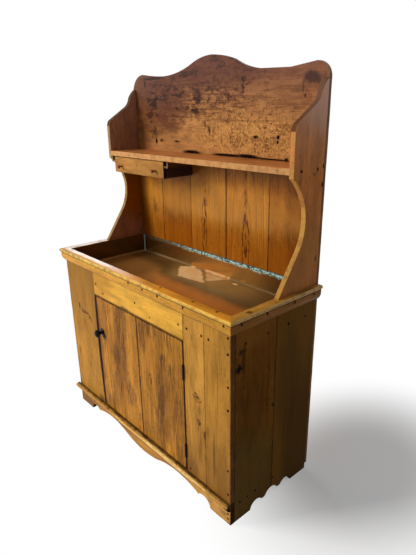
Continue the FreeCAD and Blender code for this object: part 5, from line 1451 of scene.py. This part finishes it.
class DRYSINK_OT_stage(bpy.types.Operator):
    """Floor, lamps, background and camera"""

    bl_idname = "drysink.stage"
    bl_label = "Stage"

    def execute(self, context):
        stage = settings().dry_sink_stage
        scene = context.scene
        scene.view_settings.view_transform = "Standard"
        self.floor()
        self.world(stage.ambient)
        key = lamp("key", (-2.5, -3.4, 2.7), (0.0, -0.1, 0.7), (2.0, 1.8), stage.key_power, (1.0, 0.985, 0.96))
        key.visible_glossy = False
        lamp("window", (-3.2, 1.4, 1.87), (-0.25, -0.2, 0.834), (0.7, 0.4), stage.window_power)
        lamp("spark", (-2.0, -2.0, 0.2), (-0.27, FRONT_Y, 0.49), (0.14, 0.14), 8.0)
        camera_at((1.5170, FRONT_Y - 0.9476, 1.4548), 48.208, 19.655, -0.867, 30.85)
        return {"FINISHED"}

    def floor(self):
        bpy.ops.object.select_all(action="DESELECT")
        bpy.ops.mesh.primitive_plane_add(size=40, location=(0, 0, 0))
        piece = bpy.context.active_object
        piece.name = "stage_floor"
        material = bpy.data.materials.new("stage floor")
        material.use_nodes = True
        t = Tree(material.node_tree)
        shader = material.node_tree.nodes["Principled BSDF"]
        shader.inputs["Base Color"].default_value = (0.92, 0.92, 0.92, 1)
        shader.inputs["Roughness"].default_value = 0.9
        shader.inputs["Specular IOR Level"].default_value = 0.0
        rays = t.add("LightPath").outputs
        seen = t.maths("MAXIMUM", rays["Is Camera Ray"],
                       t.maths("MAXIMUM", rays["Is Glossy Ray"], rays["Is Transmission Ray"]))
        here = t.add("TexCoord").outputs["Object"]
        away = t.length(t.vector("MULTIPLY", t.vector("SUBTRACT", here, (0.72, 0.42, 0.0)), (1.0, 0.75, 1.0)))
        whitening = t.between(away, 0.15, 0.62)
        lift = t.add("Emission", (1, 1, 1, 1), t.maths("MULTIPLY", seen, 0.12)).outputs[0]
        lifted = t.add("AddShader", shader.outputs[0], lift).outputs[0]
        white = t.add("Emission", (1, 1, 1, 1), 1.0).outputs[0]
        both = t.add("MixShader", t.maths("MULTIPLY", seen, whitening), lifted, white).outputs[0]
        t.tree.links.new(both, material.node_tree.nodes["Material Output"].inputs["Surface"])
        piece.data.materials.append(material)

    def world(self, ambient):
        world = bpy.data.worlds.new("room")
        bpy.context.scene.world = world
        world.use_nodes = True
        t = Tree(world.node_tree)
        rays = t.add("LightPath").outputs
        background = world.node_tree.nodes["Background"]
        seen = t.maths("MAXIMUM", rays["Is Camera Ray"],
                       t.maths("MAXIMUM", rays["Is Glossy Ray"], rays["Is Transmission Ray"]))
        strength = t.add("MapRange", seen, 0.0, 1.0, ambient, 1.0).outputs[0]
        t.feed(background.inputs["Strength"], strength)
        background.inputs["Color"].default_value = (1, 1, 1, 1)


class DRYSINK_PT_panel(bpy.types.Panel):
    """Lists the pieces of the dry sink"""

    bl_idname = "DRYSINK_PT_panel"
    bl_label = "Dry sink"
    bl_space_type = "VIEW_3D"
    bl_region_type = "UI"
    bl_category = "Dry sink"

    def draw(self, context):
        for group in ("dry_sink_wear", "dry_sink_colours", "dry_sink_stage"):
            box = self.layout.box()
            holder = getattr(context.scene, group)
            for name in holder.__annotations__:
                box.prop(holder, name)
        for operator in PIECES:
            self.layout.operator(operator.bl_idname)


PIECES = (
    DRYSINK_OT_stage, DRYSINK_OT_front, DRYSINK_OT_sides, DRYSINK_OT_back, DRYSINK_OT_inside,
    DRYSINK_OT_mouldings, DRYSINK_OT_door, DRYSINK_OT_drawer, DRYSINK_OT_well, DRYSINK_OT_ironwork,
)
CLASSES = (DrySinkWear, DrySinkColours, DrySinkStage) + PIECES + (DRYSINK_PT_panel,)


def register():
    for entry in CLASSES:
        bpy.utils.register_class(entry)
    bpy.types.Scene.dry_sink_wear = bpy.props.PointerProperty(type=DrySinkWear)
    bpy.types.Scene.dry_sink_colours = bpy.props.PointerProperty(type=DrySinkColours)
    bpy.types.Scene.dry_sink_stage = bpy.props.PointerProperty(type=DrySinkStage)


def unregister():
    del bpy.types.Scene.dry_sink_stage
    del bpy.types.Scene.dry_sink_colours
    del bpy.types.Scene.dry_sink_wear
    for entry in reversed(CLASSES):
        bpy.utils.unregister_class(entry)


def main():
    register()
    build_groups()
    for operator in PIECES:
        family, call = operator.bl_idname.split(".")
        getattr(getattr(bpy.ops, family), call)()


if __name__ == "__main__":
    main()
